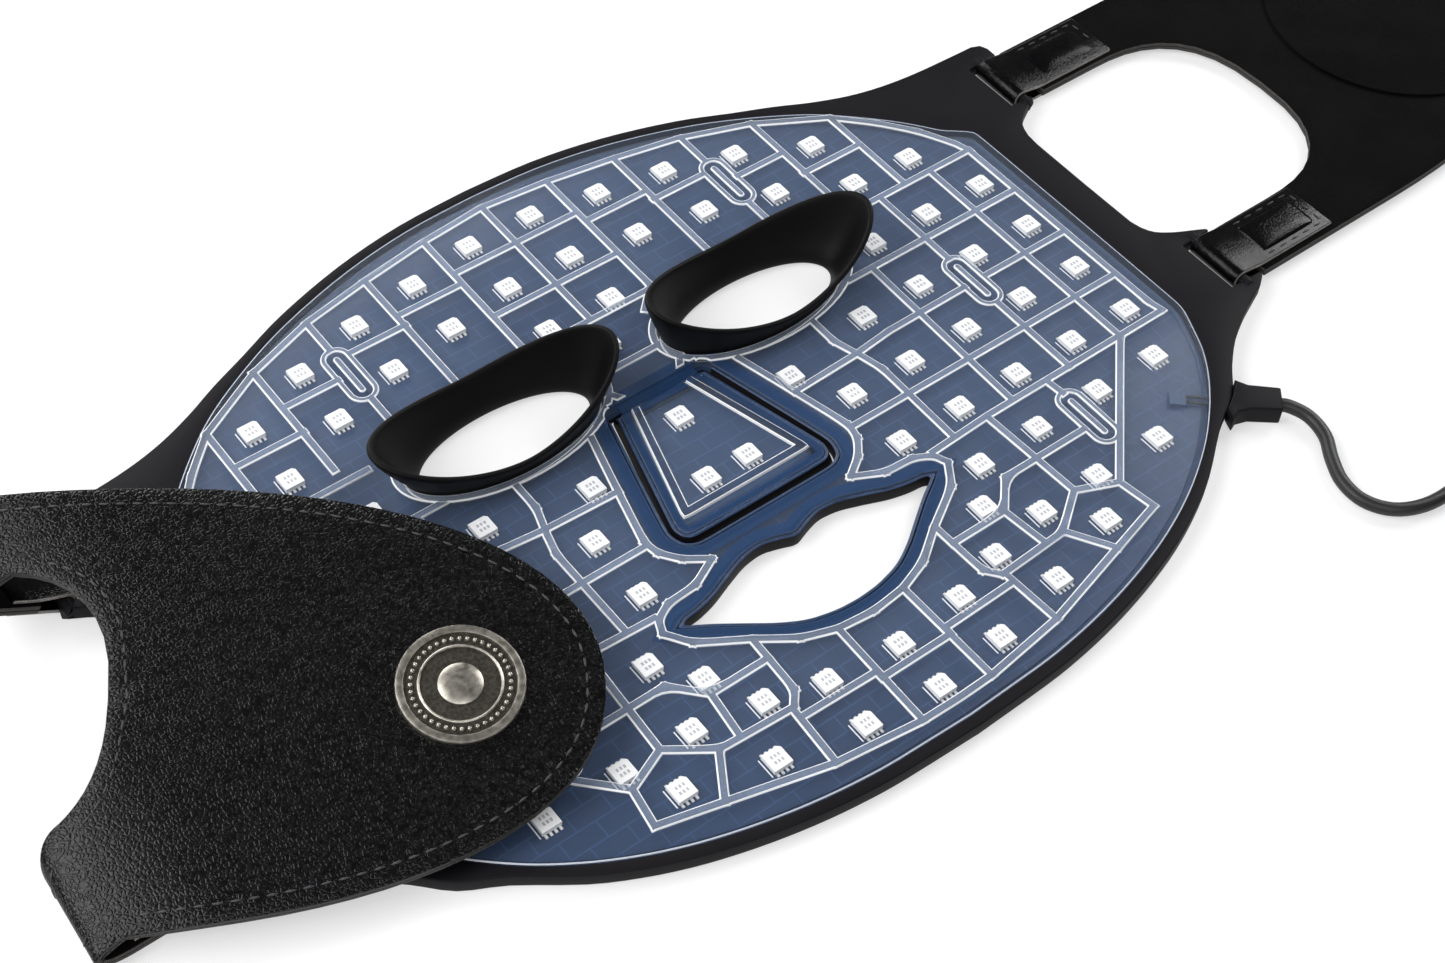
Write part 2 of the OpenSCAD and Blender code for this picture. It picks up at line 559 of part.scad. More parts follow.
// metal badge: a disc with a raised rim and rings, on a boss through the leather, with a washer behind it
badge_u = strap_long - 31;
module on_flap(u, z) sheet() flap_frame() translate([u, 0, z]) children();
module badge_disc() color("#a09b91") on_flap(badge_u, leather) rotate_extrude()
    polygon([[0, 0], [badge_radius, 0], [badge_radius, badge_thick - 0.3], [badge_radius - 0.3, badge_thick],
        [badge_radius - 1.8, badge_thick], [badge_radius - 2.1, badge_thick - 0.6],
        [badge_radius - 3.4, badge_thick - 0.6], [badge_radius - 3.6, badge_thick - 0.2],
        [badge_radius - 4.4, badge_thick - 0.2], [badge_radius - 4.6, badge_thick - 0.6],
        [0, badge_thick - 0.6]]);
module badge_boss() color("#a09b91") on_flap(badge_u, leather + badge_thick - 0.6)
    rotate_extrude() polygon([[0, 0], [5, 0], [4.6, 0.5], [3, 0.9], [0, 1]]);
module badge_washer() color("#8a867e") on_flap(badge_u, -lining - 0.6) cylinder(r = 7, h = 0.6);

// lead: boot on the jaw, wires to a terminal, free run, coil and plug
module boot_plan() polygon([[0, -3.6], [0, 3.6], [-8, 3.9], [-11, 5.2], [-12.6, 7.4], [-13.4, 4],
    [-13.4, -4], [-12.2, -7.4], [-11, -5.2], [-8, -3.9]]);
module lead_boot() color("#1e1c20") sheet() difference() {
    sheet_lead() linear_extrude(boot_height) boot_plan();
    translate([0, 0, -1]) linear_extrude(boot_height + 2) offset(delta = 0.05) shell_shape();
    sheet_lead() translate([-7, 0, boot_height / 2]) rotate([0, 90, 0]) cylinder(r = cord_wide / 2 + 0.1, h = 8);
    wire_way();
}
wire_z = lamp_z + 0.75;
module lead_terminal() color("#2f4f6f") sheet() sheet_lead() translate([-27, -2, lamp_z]) cube([4, 4, 1]);
module lead_wires() color("#1b1b1e") sheet() sheet_lead() for (i = [-1, 1])
    translate([-23, i * 0.9, wire_z]) rotate([0, 90, 0]) cylinder(r = 0.4, h = 16);

cord_r = cord_wide / 2;
cord_low = cord_r;
coil_base = 1.2 + cord_r;
coil_center = [168, -137];
lead_dir = [cos(boot_turn), sin(boot_turn)];
function lead_at(d, z) = [boot_end.x * sx + lead_dir.x * d, boot_end.y * sy + lead_dir.y * d, z];
coil_top = [coil_center.x, coil_center.y + coil_radius];
lead_points = smooth(concat(
    [lead_at(-6.8, boot_height / 2), lead_at(-4, boot_height / 2), lead_at(-1, boot_height / 2),
        lead_at(2, boot_height / 2)],
    [[124.6, -80.6, cord_low + 0.4], [123.6, -87, cord_low], [119.6, -93, cord_low], [116.4, -99.5, cord_low],
        [116.2, -106.5, cord_low], [120, -112.5, cord_low], [127, -116, cord_low], [136, -116.8, cord_low],
        [146, -115.4, cord_low + 0.3], [157, -113.4, cord_low + 1]],
    [[coil_top.x - 3, coil_top.y + 0.1, coil_base], [coil_top.x, coil_top.y, coil_base]]), 5);
// ring of a round tube at point p, square to direction d
function ring(p, d, r, sides) =
    let (f = d / norm(d), a = cross([0, 0, 1], f), n = a / norm(a), b = cross(f, n))
    [for (i = [0:sides - 1]) p + r * (cos(i * 360 / sides) * n + sin(i * 360 / sides) * b)];
function run_points(p, r, sides) = [for (i = [0:len(p) - 1])
    each ring(p[i], p[min(i + 1, len(p) - 1)] - p[max(i - 1, 0)], r, sides)];
module tube(p, r, sides)
    polyhedron(run_points(p, r, sides), [for (f = tube_faces(len(p), sides)) flip(f)], convexity = 8);
module lead_cord() color("#151517") sheet() tube(lead_points, cord_r, 8);

// coil: each layer spirals in or out, then half a turn climbs to the next
layer_turns = coil_turns + 0.5;
all_turns = coil_layers * coil_turns + (coil_layers - 1) * 0.5;
function coil_at(turn) = let (
    k = min(floor(turn / layer_turns), coil_layers - 1), local = turn - k * layer_turns,
    inward = k % 2 == 0, span = coil_turns * coil_pitch,
    spin = min(local, coil_turns), climb = max(local - coil_turns, 0) * 2,
    r = (inward ? coil_radius - spin * coil_pitch : coil_radius - span + spin * coil_pitch)
        + (inward ? -1.3 : 1.3) * sin(climb * 180),
    a = 90 - turn * 360)
    [coil_center.x + r * cos(a), coil_center.y + r * sin(a), coil_base + (k + climb) * coil_pitch];
coil_points = [for (i = [0:24 * all_turns]) coil_at(i / 24)];
tail_top = coil_base + (coil_layers - 1) * coil_pitch;
plug_z = 3.3;
tail_points = smooth([coil_points[len(coil_points) - 2], coil_points[len(coil_points) - 1],
    [coil_top.x + 10, coil_top.y - 0.6, tail_top - 0.6], [coil_top.x + 24, coil_top.y - 2.5, tail_top * 0.6],
    [coil_top.x + 38, coil_top.y - 5, plug_z + 1], [coil_top.x + 48, coil_top.y - 7, plug_z],
    [coil_top.x + 57, coil_top.y - 9, plug_z]], 4);
coil_run = concat([for (i = [1:len(coil_points) - 2]) coil_points[i]],
    [for (i = [4:len(tail_points) - 1]) tail_points[i]]);
module lead_coil() color("#151517") sheet() tube(coil_run, cord_r, 6);
coil_gap = min([for (i = [0:2:len(coil_points) - 1], j = [i + 16:1:len(coil_points) - 1])
    if (j < len(coil_points)) norm(coil_points[i] - coil_points[j])]) - cord_wide;
echo(coil_gap = coil_gap);
function run_long(p) = sum_to([for (i = [1:len(p) - 1]) norm(p[i] - p[i - 1])], len(p) - 2);
coil_long = run_long(coil_run) + run_long(lead_points);
echo(lead_length = coil_long);

tie_in = coil_radius - coil_turns * coil_pitch - cord_r - 1.6;
tie_out = coil_radius + cord_r + 1.6;
tie_high = coil_base + (coil_layers - 1) * coil_pitch + cord_r + 0.3;
module lead_tie() color("#202024") sheet() translate([coil_center.x, coil_center.y, 0]) rotate([0, 0, -55])
    translate([0, 3, 0]) rotate([90, 0, 0]) linear_extrude(6) difference() {
        translate([tie_in - 1, 0]) square([tie_out - tie_in + 2, tie_high + 1]);
        translate([tie_in, 0.9]) square([tie_out - tie_in, tie_high - 0.9]);
    }

plug_at = [coil_top.x + 55.2, coil_top.y - 8.6];
module plug_frame() sheet() translate([plug_at.x, plug_at.y, 0]) rotate([0, 0, -12.5]) children();
module plug_body() color("#17171a") plug_frame() difference() {
    translate([0, -5.5, 0]) cube([21, 11, 2 * plug_z]);
    translate([-1, 0, plug_z]) rotate([0, 90, 0]) cylinder(r = cord_r, h = 3);
}
module plug_outline(grow) union() {
    square([5.8, 2.5 + 2 * grow], center = true);
    for (s = [-1, 1]) translate([s * 2.9, 0]) circle(d = 2.5 + 2 * grow);
}
module plug_shell() color("#b8bbc0") plug_frame() translate([21, 0, plug_z]) rotate([90, 0, 90])
    linear_extrude(6.6) difference() {
        plug_outline(0);
        plug_outline(-0.3);
    }
module plug_tongue() color("#26262a") plug_frame() translate([21, -2.9, plug_z - 0.35]) cube([5.6, 5.8, 0.7]);

back_shell();
flex_circuit();
color("#f4f2ee") sheet()  // lamps_forehead
    lamps(concat(forehead, mirrored(forehead), axis_lamps));
color("#f4f2ee") sheet() lamps(mirrored(cheek));  // lamps_left_cheek
color("#f4f2ee") sheet() lamps(cheek);  // lamps_right_cheek
color("#f4f2ee") sheet()  // lamps_chin
    lamps(concat(chin, mirrored(chin), chin_axis));
color("#d8d8d4") sheet() lamp_feet(all_lamps);  // lamp_legs
front_panel();
panel_ribs();
eye_cup_left();
eye_cup_right();
nose_flap_shell();
nose_flap_circuit();
color("#f4f2ee") sheet() lamps(nose_lamps);  // nose_flap_lamps
color("#d8d8d4") sheet() lamp_feet(nose_lamps);  // nose_flap_legs
nose_flap_panel();
right_tab(1);  // right_tab_upper
right_tab(-1);  // right_tab_lower
right_strap_leather();
right_strap_lining();
right_strap_patch();
left_tab(1);  // left_tab_upper
left_tab(-1);  // left_tab_lower
left_legs_leather();
left_legs_lining();
left_bend_leather();
left_bend_lining();
left_flap_leather();
left_flap_lining();
badge_disc();
badge_boss();
badge_washer();
lead_boot();
lead_terminal();
lead_wires();
lead_cord();
lead_coil();
lead_tie();
plug_body();
plug_shell();
plug_tongue();
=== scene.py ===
import math

import bmesh
import bpy
from mathutils import Matrix, Vector


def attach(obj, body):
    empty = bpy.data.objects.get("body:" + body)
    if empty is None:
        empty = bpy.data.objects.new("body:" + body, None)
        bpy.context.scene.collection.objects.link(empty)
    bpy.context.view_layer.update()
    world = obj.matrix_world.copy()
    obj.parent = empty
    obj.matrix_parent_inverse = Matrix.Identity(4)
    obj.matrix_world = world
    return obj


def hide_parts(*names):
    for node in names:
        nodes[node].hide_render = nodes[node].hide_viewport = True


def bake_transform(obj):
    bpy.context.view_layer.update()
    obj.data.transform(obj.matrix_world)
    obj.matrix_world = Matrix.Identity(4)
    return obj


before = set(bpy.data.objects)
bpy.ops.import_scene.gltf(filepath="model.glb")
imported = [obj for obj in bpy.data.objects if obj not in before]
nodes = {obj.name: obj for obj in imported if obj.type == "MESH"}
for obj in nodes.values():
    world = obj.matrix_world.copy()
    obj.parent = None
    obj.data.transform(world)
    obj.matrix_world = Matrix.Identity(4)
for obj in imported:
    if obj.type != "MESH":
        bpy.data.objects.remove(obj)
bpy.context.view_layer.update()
scene = bpy.context.scene
print("frame loaded,", len(nodes), "nodes")

mm = 0.001
weld = 0.002 * mm  # points closer than this are one point
eyeLine = 30.0  # sheet y of the nose bridge, which is the origin


def spot(x, y, z):  # sheet millimetres to the shared frame
    return Vector((x * mm, (y - eyeLine) * mm, z * mm))


def sheetY(co):  # back to sheet millimetres
    return co.y / mm + eyeLine


def toLinear(code):  # sRGB hex to linear RGBA
    channels = [int(code[i:i + 2], 16) / 255 for i in (1, 3, 5)]
    return [c / 12.92 if c <= 0.04045 else ((c + 0.055) / 1.055) ** 2.4 for c in channels] + [1.0]


def addNode(tree, kind, values=None, **settings):  # one node with its settings, values and links
    node = tree.nodes.new(kind)
    for key, value in settings.items():
        setattr(node, key, value)
    for key, value in (values or {}).items():
        if isinstance(value, bpy.types.NodeSocket):
            tree.links.new(value, node.inputs[key])
        else:
            node.inputs[key].default_value = value
    return node


def startMaterial(name):
    material = bpy.data.materials.new(name)
    material.use_nodes = True
    tree = material.node_tree
    tree.nodes.clear()
    place = addNode(tree, "ShaderNodeTexCoord").outputs["Object"]
    return material, tree, place


def endMaterial(tree, values):
    surface = addNode(tree, "ShaderNodeBsdfPrincipled", values)
    addNode(tree, "ShaderNodeOutputMaterial", {"Surface": surface.outputs["BSDF"]})


def noise(tree, place, size, detail):  # blotches of about this size in millimetres
    values = {"Vector": place, "Scale": 1 / (size * mm), "Detail": detail}
    return addNode(tree, "ShaderNodeTexNoise", values).outputs["Fac"]


def bumps(tree, height, strength, depth, under=None):  # depth in millimetres
    values = {"Height": height, "Strength": strength, "Distance": depth * mm}
    if under is not None:
        values["Normal"] = under
    return addNode(tree, "ShaderNodeBump", values).outputs["Normal"]


def calc(tree, operation, a, b):
    return addNode(tree, "ShaderNodeMath", {0: a, 1: b}, operation=operation).outputs["Value"]


def shades(tree, factor, dark, light, low=0.3, high=0.7):  # two colours spread over a pattern
    ramp = addNode(tree, "ShaderNodeValToRGB", {"Fac": factor})
    ramp.color_ramp.elements[0].position = low
    ramp.color_ramp.elements[0].color = toLinear(dark)
    ramp.color_ramp.elements[1].position = high
    ramp.color_ramp.elements[1].color = toLinear(light)
    return ramp.outputs["Color"]


def spread(tree, factor, low, high):  # a value that wanders between two limits
    values = {"Value": factor, "To Min": low, "To Max": high}
    return addNode(tree, "ShaderNodeMapRange", values).outputs["Result"]


def mouldedRubber(name, dark, light, roughLow, roughHigh, grain, depth):
    # liquid silicone from a sand-blasted mould: soft black, faint dust, no clear reflections
    material, tree, place = startMaterial(name)
    cloud = noise(tree, place, 30, 4.0)
    endMaterial(tree, {
        "Base Color": shades(tree, cloud, dark, light),
        "Roughness": spread(tree, cloud, roughLow, roughHigh),
        "Normal": bumps(tree, noise(tree, place, grain, 2.0), 0.35, depth), "IOR": 1.41,
        "Specular IOR Level": 0.18})
    return material


def clearSilicone(name, colour, clear, rim, rough):
    # clear moulded silicone: slightly milky, with a wet gloss; denser and whiter where it is seen edge
    # on, partly from the longer way through the haze and partly painted reflection
    material, tree, place = startMaterial(name)
    haze = noise(tree, place, 18, 3.0)
    slant = addNode(tree, "ShaderNodeLayerWeight", {"Blend": 0.25}).outputs["Facing"]
    endMaterial(tree, {
        "Base Color": toLinear(colour), "Roughness": spread(tree, haze, rough, rough + 0.08),
        "Alpha": spread(tree, slant, clear, rim), "IOR": 1.41,
        "Normal": bumps(tree, noise(tree, place, 6, 1.0), 0.12, 0.2)})
    return material


def flexFilm(name):
    # polyimide circuit with navy cover film: smooth, with faint copper runs under the film
    material, tree, place = startMaterial(name)
    cloud = noise(tree, place, 50, 3.0)
    runs = addNode(tree, "ShaderNodeTexBrick", {
        "Vector": place, "Scale": 1 / (19 * mm), "Mortar Size": 0.012, "Color1": (0, 0, 0, 1),
        "Color2": (0, 0, 0, 1), "Mortar": (1, 1, 1, 1)}).outputs["Fac"]
    tint = addNode(tree, "ShaderNodeMix", {
        "Factor": runs, "A": shades(tree, cloud, "#223553", "#283e5f"), "B": toLinear("#2e476b")},
        data_type="RGBA")
    endMaterial(tree, {"Base Color": tint.outputs["Result"], "Roughness": spread(tree, cloud, 0.38, 0.5)})
    return material


def pebbleLeather(name, dark, light, cell, depth, roughLow, roughHigh, gloss):
    # embossed leather: rounded pebbles; the colour is darker in the creases and lighter on the pebble
    # tops, painted shade and painted highlight
    material, tree, place = startMaterial(name)
    warp = addNode(tree, "ShaderNodeTexNoise", {
        "Vector": place, "Scale": 1 / (cell * 2.5 * mm), "Detail": 2.0})
    shift = addNode(tree, "ShaderNodeVectorMath", {0: warp.outputs["Color"], "Scale": cell * 0.4 * mm},
                    operation="SCALE")
    bent = addNode(tree, "ShaderNodeVectorMath", {0: place, 1: shift.outputs["Vector"]}, operation="ADD")
    cells = addNode(tree, "ShaderNodeTexVoronoi", {
        "Vector": bent.outputs["Vector"], "Scale": 1 / (cell * mm)}, feature="DISTANCE_TO_EDGE")
    # pebble height: it drives the bumps, and the colour as painted shade in the creases and painted
    # highlight on the tops
    top = addNode(tree, "ShaderNodeMapRange", {"Value": cells.outputs["Distance"], "From Max": 0.3},
                  interpolation_type="SMOOTHSTEP")
    fine = calc(tree, "MULTIPLY", noise(tree, place, 0.25, 2.0), 0.08)
    height = calc(tree, "ADD", top.outputs["Result"], fine)
    sag = bumps(tree, noise(tree, place, 22, 1.0), 0.3, 0.6)
    cloud = noise(tree, place, 40, 4.0)
    endMaterial(tree, {
        "Base Color": shades(tree, height, dark, light, 0.1, 1.0),
        "Roughness": spread(tree, cloud, roughLow, roughHigh),
        "Normal": bumps(tree, height, 0.5, depth, sag), "Specular IOR Level": gloss})
    return material


def velvetPile(name, dark, light):
    # short knitted pile: swallows light, sheen at grazing angles, brushed patches
    material, tree, place = startMaterial(name)
    pile = noise(tree, place, 0.45, 3.0)
    tufts = calc(tree, "MULTIPLY", noise(tree, place, 12, 5.0), pile)
    endMaterial(tree, {
        "Base Color": shades(tree, tufts, dark, light, 0.15, 0.4), "Roughness": 0.95,
        "Specular IOR Level": 0.1, "Sheen Weight": 0.012, "Sheen Roughness": 0.5,
        "Sheen Tint": toLinear("#5a5660"), "Normal": bumps(tree, pile, 0.8, 0.35)})
    return material


def plainFinish(name, dark, light, metallic, roughLow, roughHigh, grain, depth):
    # two close shades with a fine grain, for metal, plastic, thread and cut edges
    material, tree, place = startMaterial(name)
    cloud = noise(tree, place, grain, 4.0)
    endMaterial(tree, {
        "Base Color": shades(tree, cloud, dark, light),
        "Roughness": spread(tree, cloud, roughLow, roughHigh),
        "Metallic": metallic, "Normal": bumps(tree, cloud, 0.3, depth)})
    return material


shellRubber = mouldedRubber("mouldedBlackSilicone", "#0d0b0f", "#131115", 0.5, 0.62, 0.5, 0.03)
cupRubber = mouldedRubber("softBlackSilicone", "#070607", "#0c0b0c", 0.46, 0.6, 0.4, 0.02)
panelClear = clearSilicone("clearSiliconePlate", "#aebdd6", 0.016, 0.2, 0.1)
ribClear = clearSilicone("clearSiliconeRib", "#c3d1e8", 0.14, 0.5, 0.12)
deepClear = clearSilicone("clearSiliconeWall", "#2b4a75", 0.34, 0.55, 0.12)
# near-opaque white for the softened rib and lens edges: painted highlight
paintedHighlightClear = clearSilicone("clearSiliconePaintedHighlight", "#f6f7f9", 0.85, 0.95, 0.1)
navyFilm = flexFilm("navyPolyimideFilm")
lampWhite = plainFinish("whitePolyamideLamp", "#fafaf9", "#ffffff", 0.0, 0.3, 0.42, 1.2, 0.01)
lampGrey = plainFinish("greyPhosphorMark", "#b4b3b6", "#c6c5c8", 0.0, 0.35, 0.45, 1.0, 0.01)
tinned = plainFinish("tinnedCopperLeg", "#e6e6e5", "#f6f6f5", 0.2, 0.25, 0.38, 0.6, 0.01)
silkInk = plainFinish("whiteSilkscreenInk", "#e6e9ee", "#f2f4f7", 0.0, 0.5, 0.6, 0.8, 0.005)
strapLeather = pebbleLeather("pebbledBlackLeather", "#030304", "#0c0c0e", 1.0, 0.145, 0.24, 0.3, 0.25)
tabLeather = pebbleLeather("polishedBlackLeather", "#040405", "#0b0b0d", 0.8, 0.05, 0.16, 0.22, 0.16)
foldedEdge = plainFinish("foldedLeatherEdge", "#1b1a1a", "#343130", 0.0, 0.6, 0.75, 0.6, 0.1)
rawEdge = plainFinish("rawLeatherEdge", "#6c6966", "#979490", 0.0, 0.6, 0.75, 0.6, 0.1)
liningEdge = plainFinish("cutPileEdge", "#2a2827", "#474442", 0.0, 0.85, 0.95, 0.5, 0.25)
velvet = velvetPile("blackVelvetPile", "#010101", "#090809")
threadGrey = plainFinish("waxedGreyThread", "#1f1e22", "#39383c", 0.0, 0.45, 0.6, 0.4, 0.03)
threadBlack = plainFinish("waxedBlackThread", "#161618", "#28282b", 0.0, 0.45, 0.6, 0.4, 0.03)
pewter = plainFinish("antiquePewter", "#8f8a82", "#bcb7ad", 1.0, 0.3, 0.46, 1.6, 0.05)
pewterDark = plainFinish("oxidisedPewter", "#3c3935", "#5a564f", 0.9, 0.4, 0.55, 0.8, 0.05)
cordSleeve = plainFinish("blackTpeSleeve", "#101012", "#17171a", 0.0, 0.42, 0.55, 0.5, 0.02)
tieBand = plainFinish("wovenTieBand", "#1a1a1d", "#242428", 0.0, 0.8, 0.9, 0.5, 0.1)
plugSteel = plainFinish("nickelPlatedSteel", "#b4b7bb", "#c6c9cc", 1.0, 0.2, 0.32, 0.8, 0.01)
terminalBoard = plainFinish("fibreglassBoard", "#243a55", "#2c4666", 0.0, 0.4, 0.5, 0.7, 0.01)
wireJacket = plainFinish("blackPvcWire", "#141416", "#1d1d20", 0.0, 0.4, 0.5, 0.7, 0.01)
print("materials made")


def finishMesh(name, bm, materials, body, replaced=(), smooth=35):
    mesh = bpy.data.meshes.new(name)
    bm.to_mesh(mesh)
    bm.free()
    mesh.shade_smooth()
    mesh.set_sharp_from_angle(angle=math.radians(smooth))
    piece = bpy.data.objects.new(name, mesh)
    scene.collection.objects.link(piece)
    for material in materials:
        mesh.materials.append(material)
    if body:
        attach(piece, body)
    if replaced:
        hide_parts(*replaced)
    return piece


def copyOf(nodeName):  # the CAD mesh as clean faces
    bm = bmesh.new()
    bm.from_mesh(nodes[nodeName].data)
    bmesh.ops.remove_doubles(bm, verts=bm.verts, dist=weld)
    bmesh.ops.dissolve_limit(bm, angle_limit=math.radians(0.6), verts=bm.verts, edges=bm.edges)
    bmesh.ops.dissolve_degenerate(bm, dist=0.05 * mm, edges=bm.edges)
    return bm


def softenEdges(bm, width, segments=2, angle=40, keep=None):
    limit = math.radians(angle)
    edges = [e for e in bm.edges if len(e.link_faces) == 2 and e.calc_face_angle(0) > limit
             and (keep is None or keep(e))]
    bmesh.ops.bevel(bm, geom=edges, offset=width * mm, offset_type="OFFSET", segments=segments,
                    profile=0.5, affect="EDGES", material=-1, clamp_overlap=False)


def isUpright(edge):
    return (edge.verts[0].co - edge.verts[1].co).xy.length < 0.01 * mm


def roundCorners(bm, least, most, where=None):  # upright edges of a moulded outline become curves
    edges = [e for e in bm.edges if len(e.link_faces) == 2 and isUpright(e)
             and least < math.degrees(e.calc_face_angle(0)) < most
             and (where is None or where(e.verts[0].co))]
    bmesh.ops.bevel(bm, geom=edges, offset=panel["share"], offset_type="PERCENT", segments=3,
                    profile=0.5, affect="EDGES", material=-1, clamp_overlap=False)


def refillPlates(bm):  # flat faces are filled again level by level, so that no face runs over an opening
    flats = [f for f in bm.faces if abs(f.normal.z) > 0.999 and len(f.verts) > 4]
    bmesh.ops.delete(bm, geom=flats, context="FACES")
    levels = {}
    for e in bm.edges:
        if len(e.link_faces) == 1:
            levels.setdefault(round(e.verts[0].co.z / mm, 2), []).append(e)
    for edges in levels.values():
        bmesh.ops.triangle_fill(bm, edges=edges, use_beauty=True)
    stray = [f for f in bm.faces if any(e.is_boundary for e in f.edges)
             and any(len(e.link_faces) > 2 for e in f.edges)]
    bmesh.ops.delete(bm, geom=stray, context="FACES")
    bmesh.ops.holes_fill(bm, edges=bm.edges, sides=3)
    bmesh.ops.recalc_face_normals(bm, faces=bm.faces)


def rounded(nodeName, name, materials, body, width, segments=2, keep=None, paint=None, shape=None):
    bm = copyOf(nodeName)
    if shape:
        shape(bm)
    softenEdges(bm, width, segments, keep=keep)
    refillPlates(bm)
    if paint:
        for face in bm.faces:
            face.material_index = paint(face, face.calc_center_median())
    return finishMesh(name, bm, materials, body, [nodeName])


# rigid pieces that keep their CAD form get a finish of their own
plainNodes = {
    "flex_circuit": navyFilm, "nose_flap_circuit": navyFilm, "lamps_forehead": lampWhite,
    "lamps_left_cheek": lampWhite, "lamps_right_cheek": lampWhite, "lamps_chin": lampWhite,
    "nose_flap_lamps": lampWhite, "lamp_legs": tinned, "nose_flap_legs": tinned,
    "lead_terminal": terminalBoard, "lead_wires": wireJacket, "plug_tongue": terminalBoard,
    "badge_washer": pewterDark, "plug_shell": plugSteel}
for nodeName, material in plainNodes.items():
    for holder in nodes[nodeName].material_slots:
        holder.material = material

panel = {
    "halfX": 124.0, "halfY": 99.0, "middleY": -28.7,  # ellipse of the outline, y in the shared frame
    "inside": 0.6, "border": 0.75, "outline": 0.8,  # shares of that ellipse
    "floor": 1.6, "top": 4.2, "lip": 3.4, "overTop": 4.3,  # heights
    "upper": 3.0, "ribUpper": 4.6,  # edges above these are softened
    "share": 33,  # per cent of an edge that a rounded corner takes
    "line": 2.4, "lineWide": 0.35, "band": 3.2, "flapBand": 2.0, "skin": 0.05, "near": 0.02, "join": 0.1}
mouth = {"low": -63.0, "high": -31.5, "half": 42.0}
nose = {
    "top": 18.4, "half": 12.0, "lean": 0.2587,
    "foot": -38.0, "head": -1.87,  # measured from the top
    "slitLow": -29.0, "slitHigh": 20.2, "slitReach": 5.5, "edgeReach": 1.3, "wallReach": 2.2,
    "widen": 0.055, "drop": 0.025, "footZ": 0.5, "footLean": 1.8,
    "bendHalf": 11.3, "bendLow": 16.5, "bendHigh": 19.8, "bendThick": 0.6,
    "stripHalf": 13.0, "strip": (15.5, 20.5)}


def isUpper(edge):
    return all(v.co.z > panel["upper"] * mm for v in edge.verts)


def isRibTop(edge):
    return all(v.co.z > panel["ribUpper"] * mm for v in edge.verts)


def lensShare(co):  # 1 on the outline of the panel, less inside it
    x, y = co.x / mm, co.y / mm - panel["middleY"]
    return (x / panel["halfX"]) ** 2 + (y / panel["halfY"]) ** 2


def isSlope(face):  # softened edges, which are given the painted highlight colours
    return 0.12 < face.normal.z < 0.97


def nearBend(co):  # strip on which the nose flap bends
    return abs(co.x) / mm < nose["stripHalf"] and nose["strip"][0] < sheetY(co) < nose["strip"][1]


def byMouth(co):
    return mouth["low"] < sheetY(co) < mouth["high"] and abs(co.x) / mm < mouth["half"]


def noseInside(co):  # millimetres inside the side of the nose flap
    return nose["half"] + (nose["top"] - sheetY(co)) * nose["lean"] - abs(co.x) / mm


def bySlit(co):
    return nose["slitLow"] < sheetY(co) < nose["slitHigh"] and noseInside(co) > -nose["slitReach"]


def byFlapEdge(co):
    down = sheetY(co) - nose["top"]
    return noseInside(co) < nose["edgeReach"] or down < nose["foot"] or down > nose["head"]


def shellPaint(face, middle):  # the circuit's film shows on the floor and round the openings
    onFloor = face.normal.z > 0.99 and abs(middle.z - panel["floor"] * mm) < 0.05 * mm
    onLip = (face.normal.z > 0.3 and middle.z > panel["lip"] * mm
             and all(lensShare(v.co) < panel["inside"] for v in face.verts))
    return 1 if onFloor or onLip else 0


# softened edges get painted highlight: white on the top and the outer border, the milky rib colour
# elsewhere
def panelPaint(face, middle):
    if not isSlope(face) or nearBend(middle):
        return 0
    return 1 if middle.z > panel["overTop"] * mm or lensShare(middle) > panel["border"] else 2


# softened rib edges get the white painted highlight
def ribPaint(face, middle):
    return 1 if isSlope(face) else 0


def curveOpenings(bm):
    roundCorners(bm, 4, 60, lambda co: lensShare(co) < panel["inside"])
    roundCorners(bm, 60, 130, byMouth)


def curvePanel(bm):
    roundCorners(bm, 4, 60)


def curveRibs(bm):
    roundCorners(bm, 6, 48)


def widenFlap(bm):  # the real slit is a little narrower than the CAD one; at its foot dark rubber stands in for shade
    curveRibs(bm)
    for v in bm.verts:
        down = sheetY(v.co) - nose["top"]
        onWall = noseInside(v.co) < nose["wallReach"] or down < nose["foot"]
        if v.co.z < panel["overTop"] * mm and onWall:
            # the wall leans out to the underside, most at the foot, so that black rubber fills the bottom
            # of the slit: a dark foot standing in for the shade in the slit
            foot = nose["footLean"] if v.co.z < nose["footZ"] * mm else 1.0
            v.co.x *= 1 + nose["widen"] * foot
            v.co.y += down * nose["drop"] * foot * mm


shellSkins = [shellRubber, navyFilm]
panelSkins = [panelClear, paintedHighlightClear, ribClear]
rounded("back_shell", "backShell", shellSkins, "mask", 0.4, 3,
        paint=shellPaint, shape=curveOpenings)
rounded("nose_flap_shell", "noseFlapShell", shellSkins, "nose_flap", 0.3,
        paint=shellPaint, shape=widenFlap)
rounded("front_panel", "frontPanel", panelSkins, "mask", 0.25,
        keep=isUpper, paint=panelPaint, shape=curvePanel)
rounded("panel_ribs", "panelRibs", [ribClear, paintedHighlightClear], "mask", 0.35,
        keep=isRibTop, paint=ribPaint, shape=curveRibs)
rounded("nose_flap_panel", "noseFlapPanel", panelSkins, "nose_flap", 0.3,
        keep=isUpper, paint=panelPaint, shape=widenFlap)
rounded("lead_boot", "leadBoot", [shellRubber], "mask", 0.5, 3)
rounded("plug_body", "plugBody", [cordSleeve], "mask", 0.9, 4)
rounded("lead_tie", "leadTie", [tieBand], "mask", 0.25)


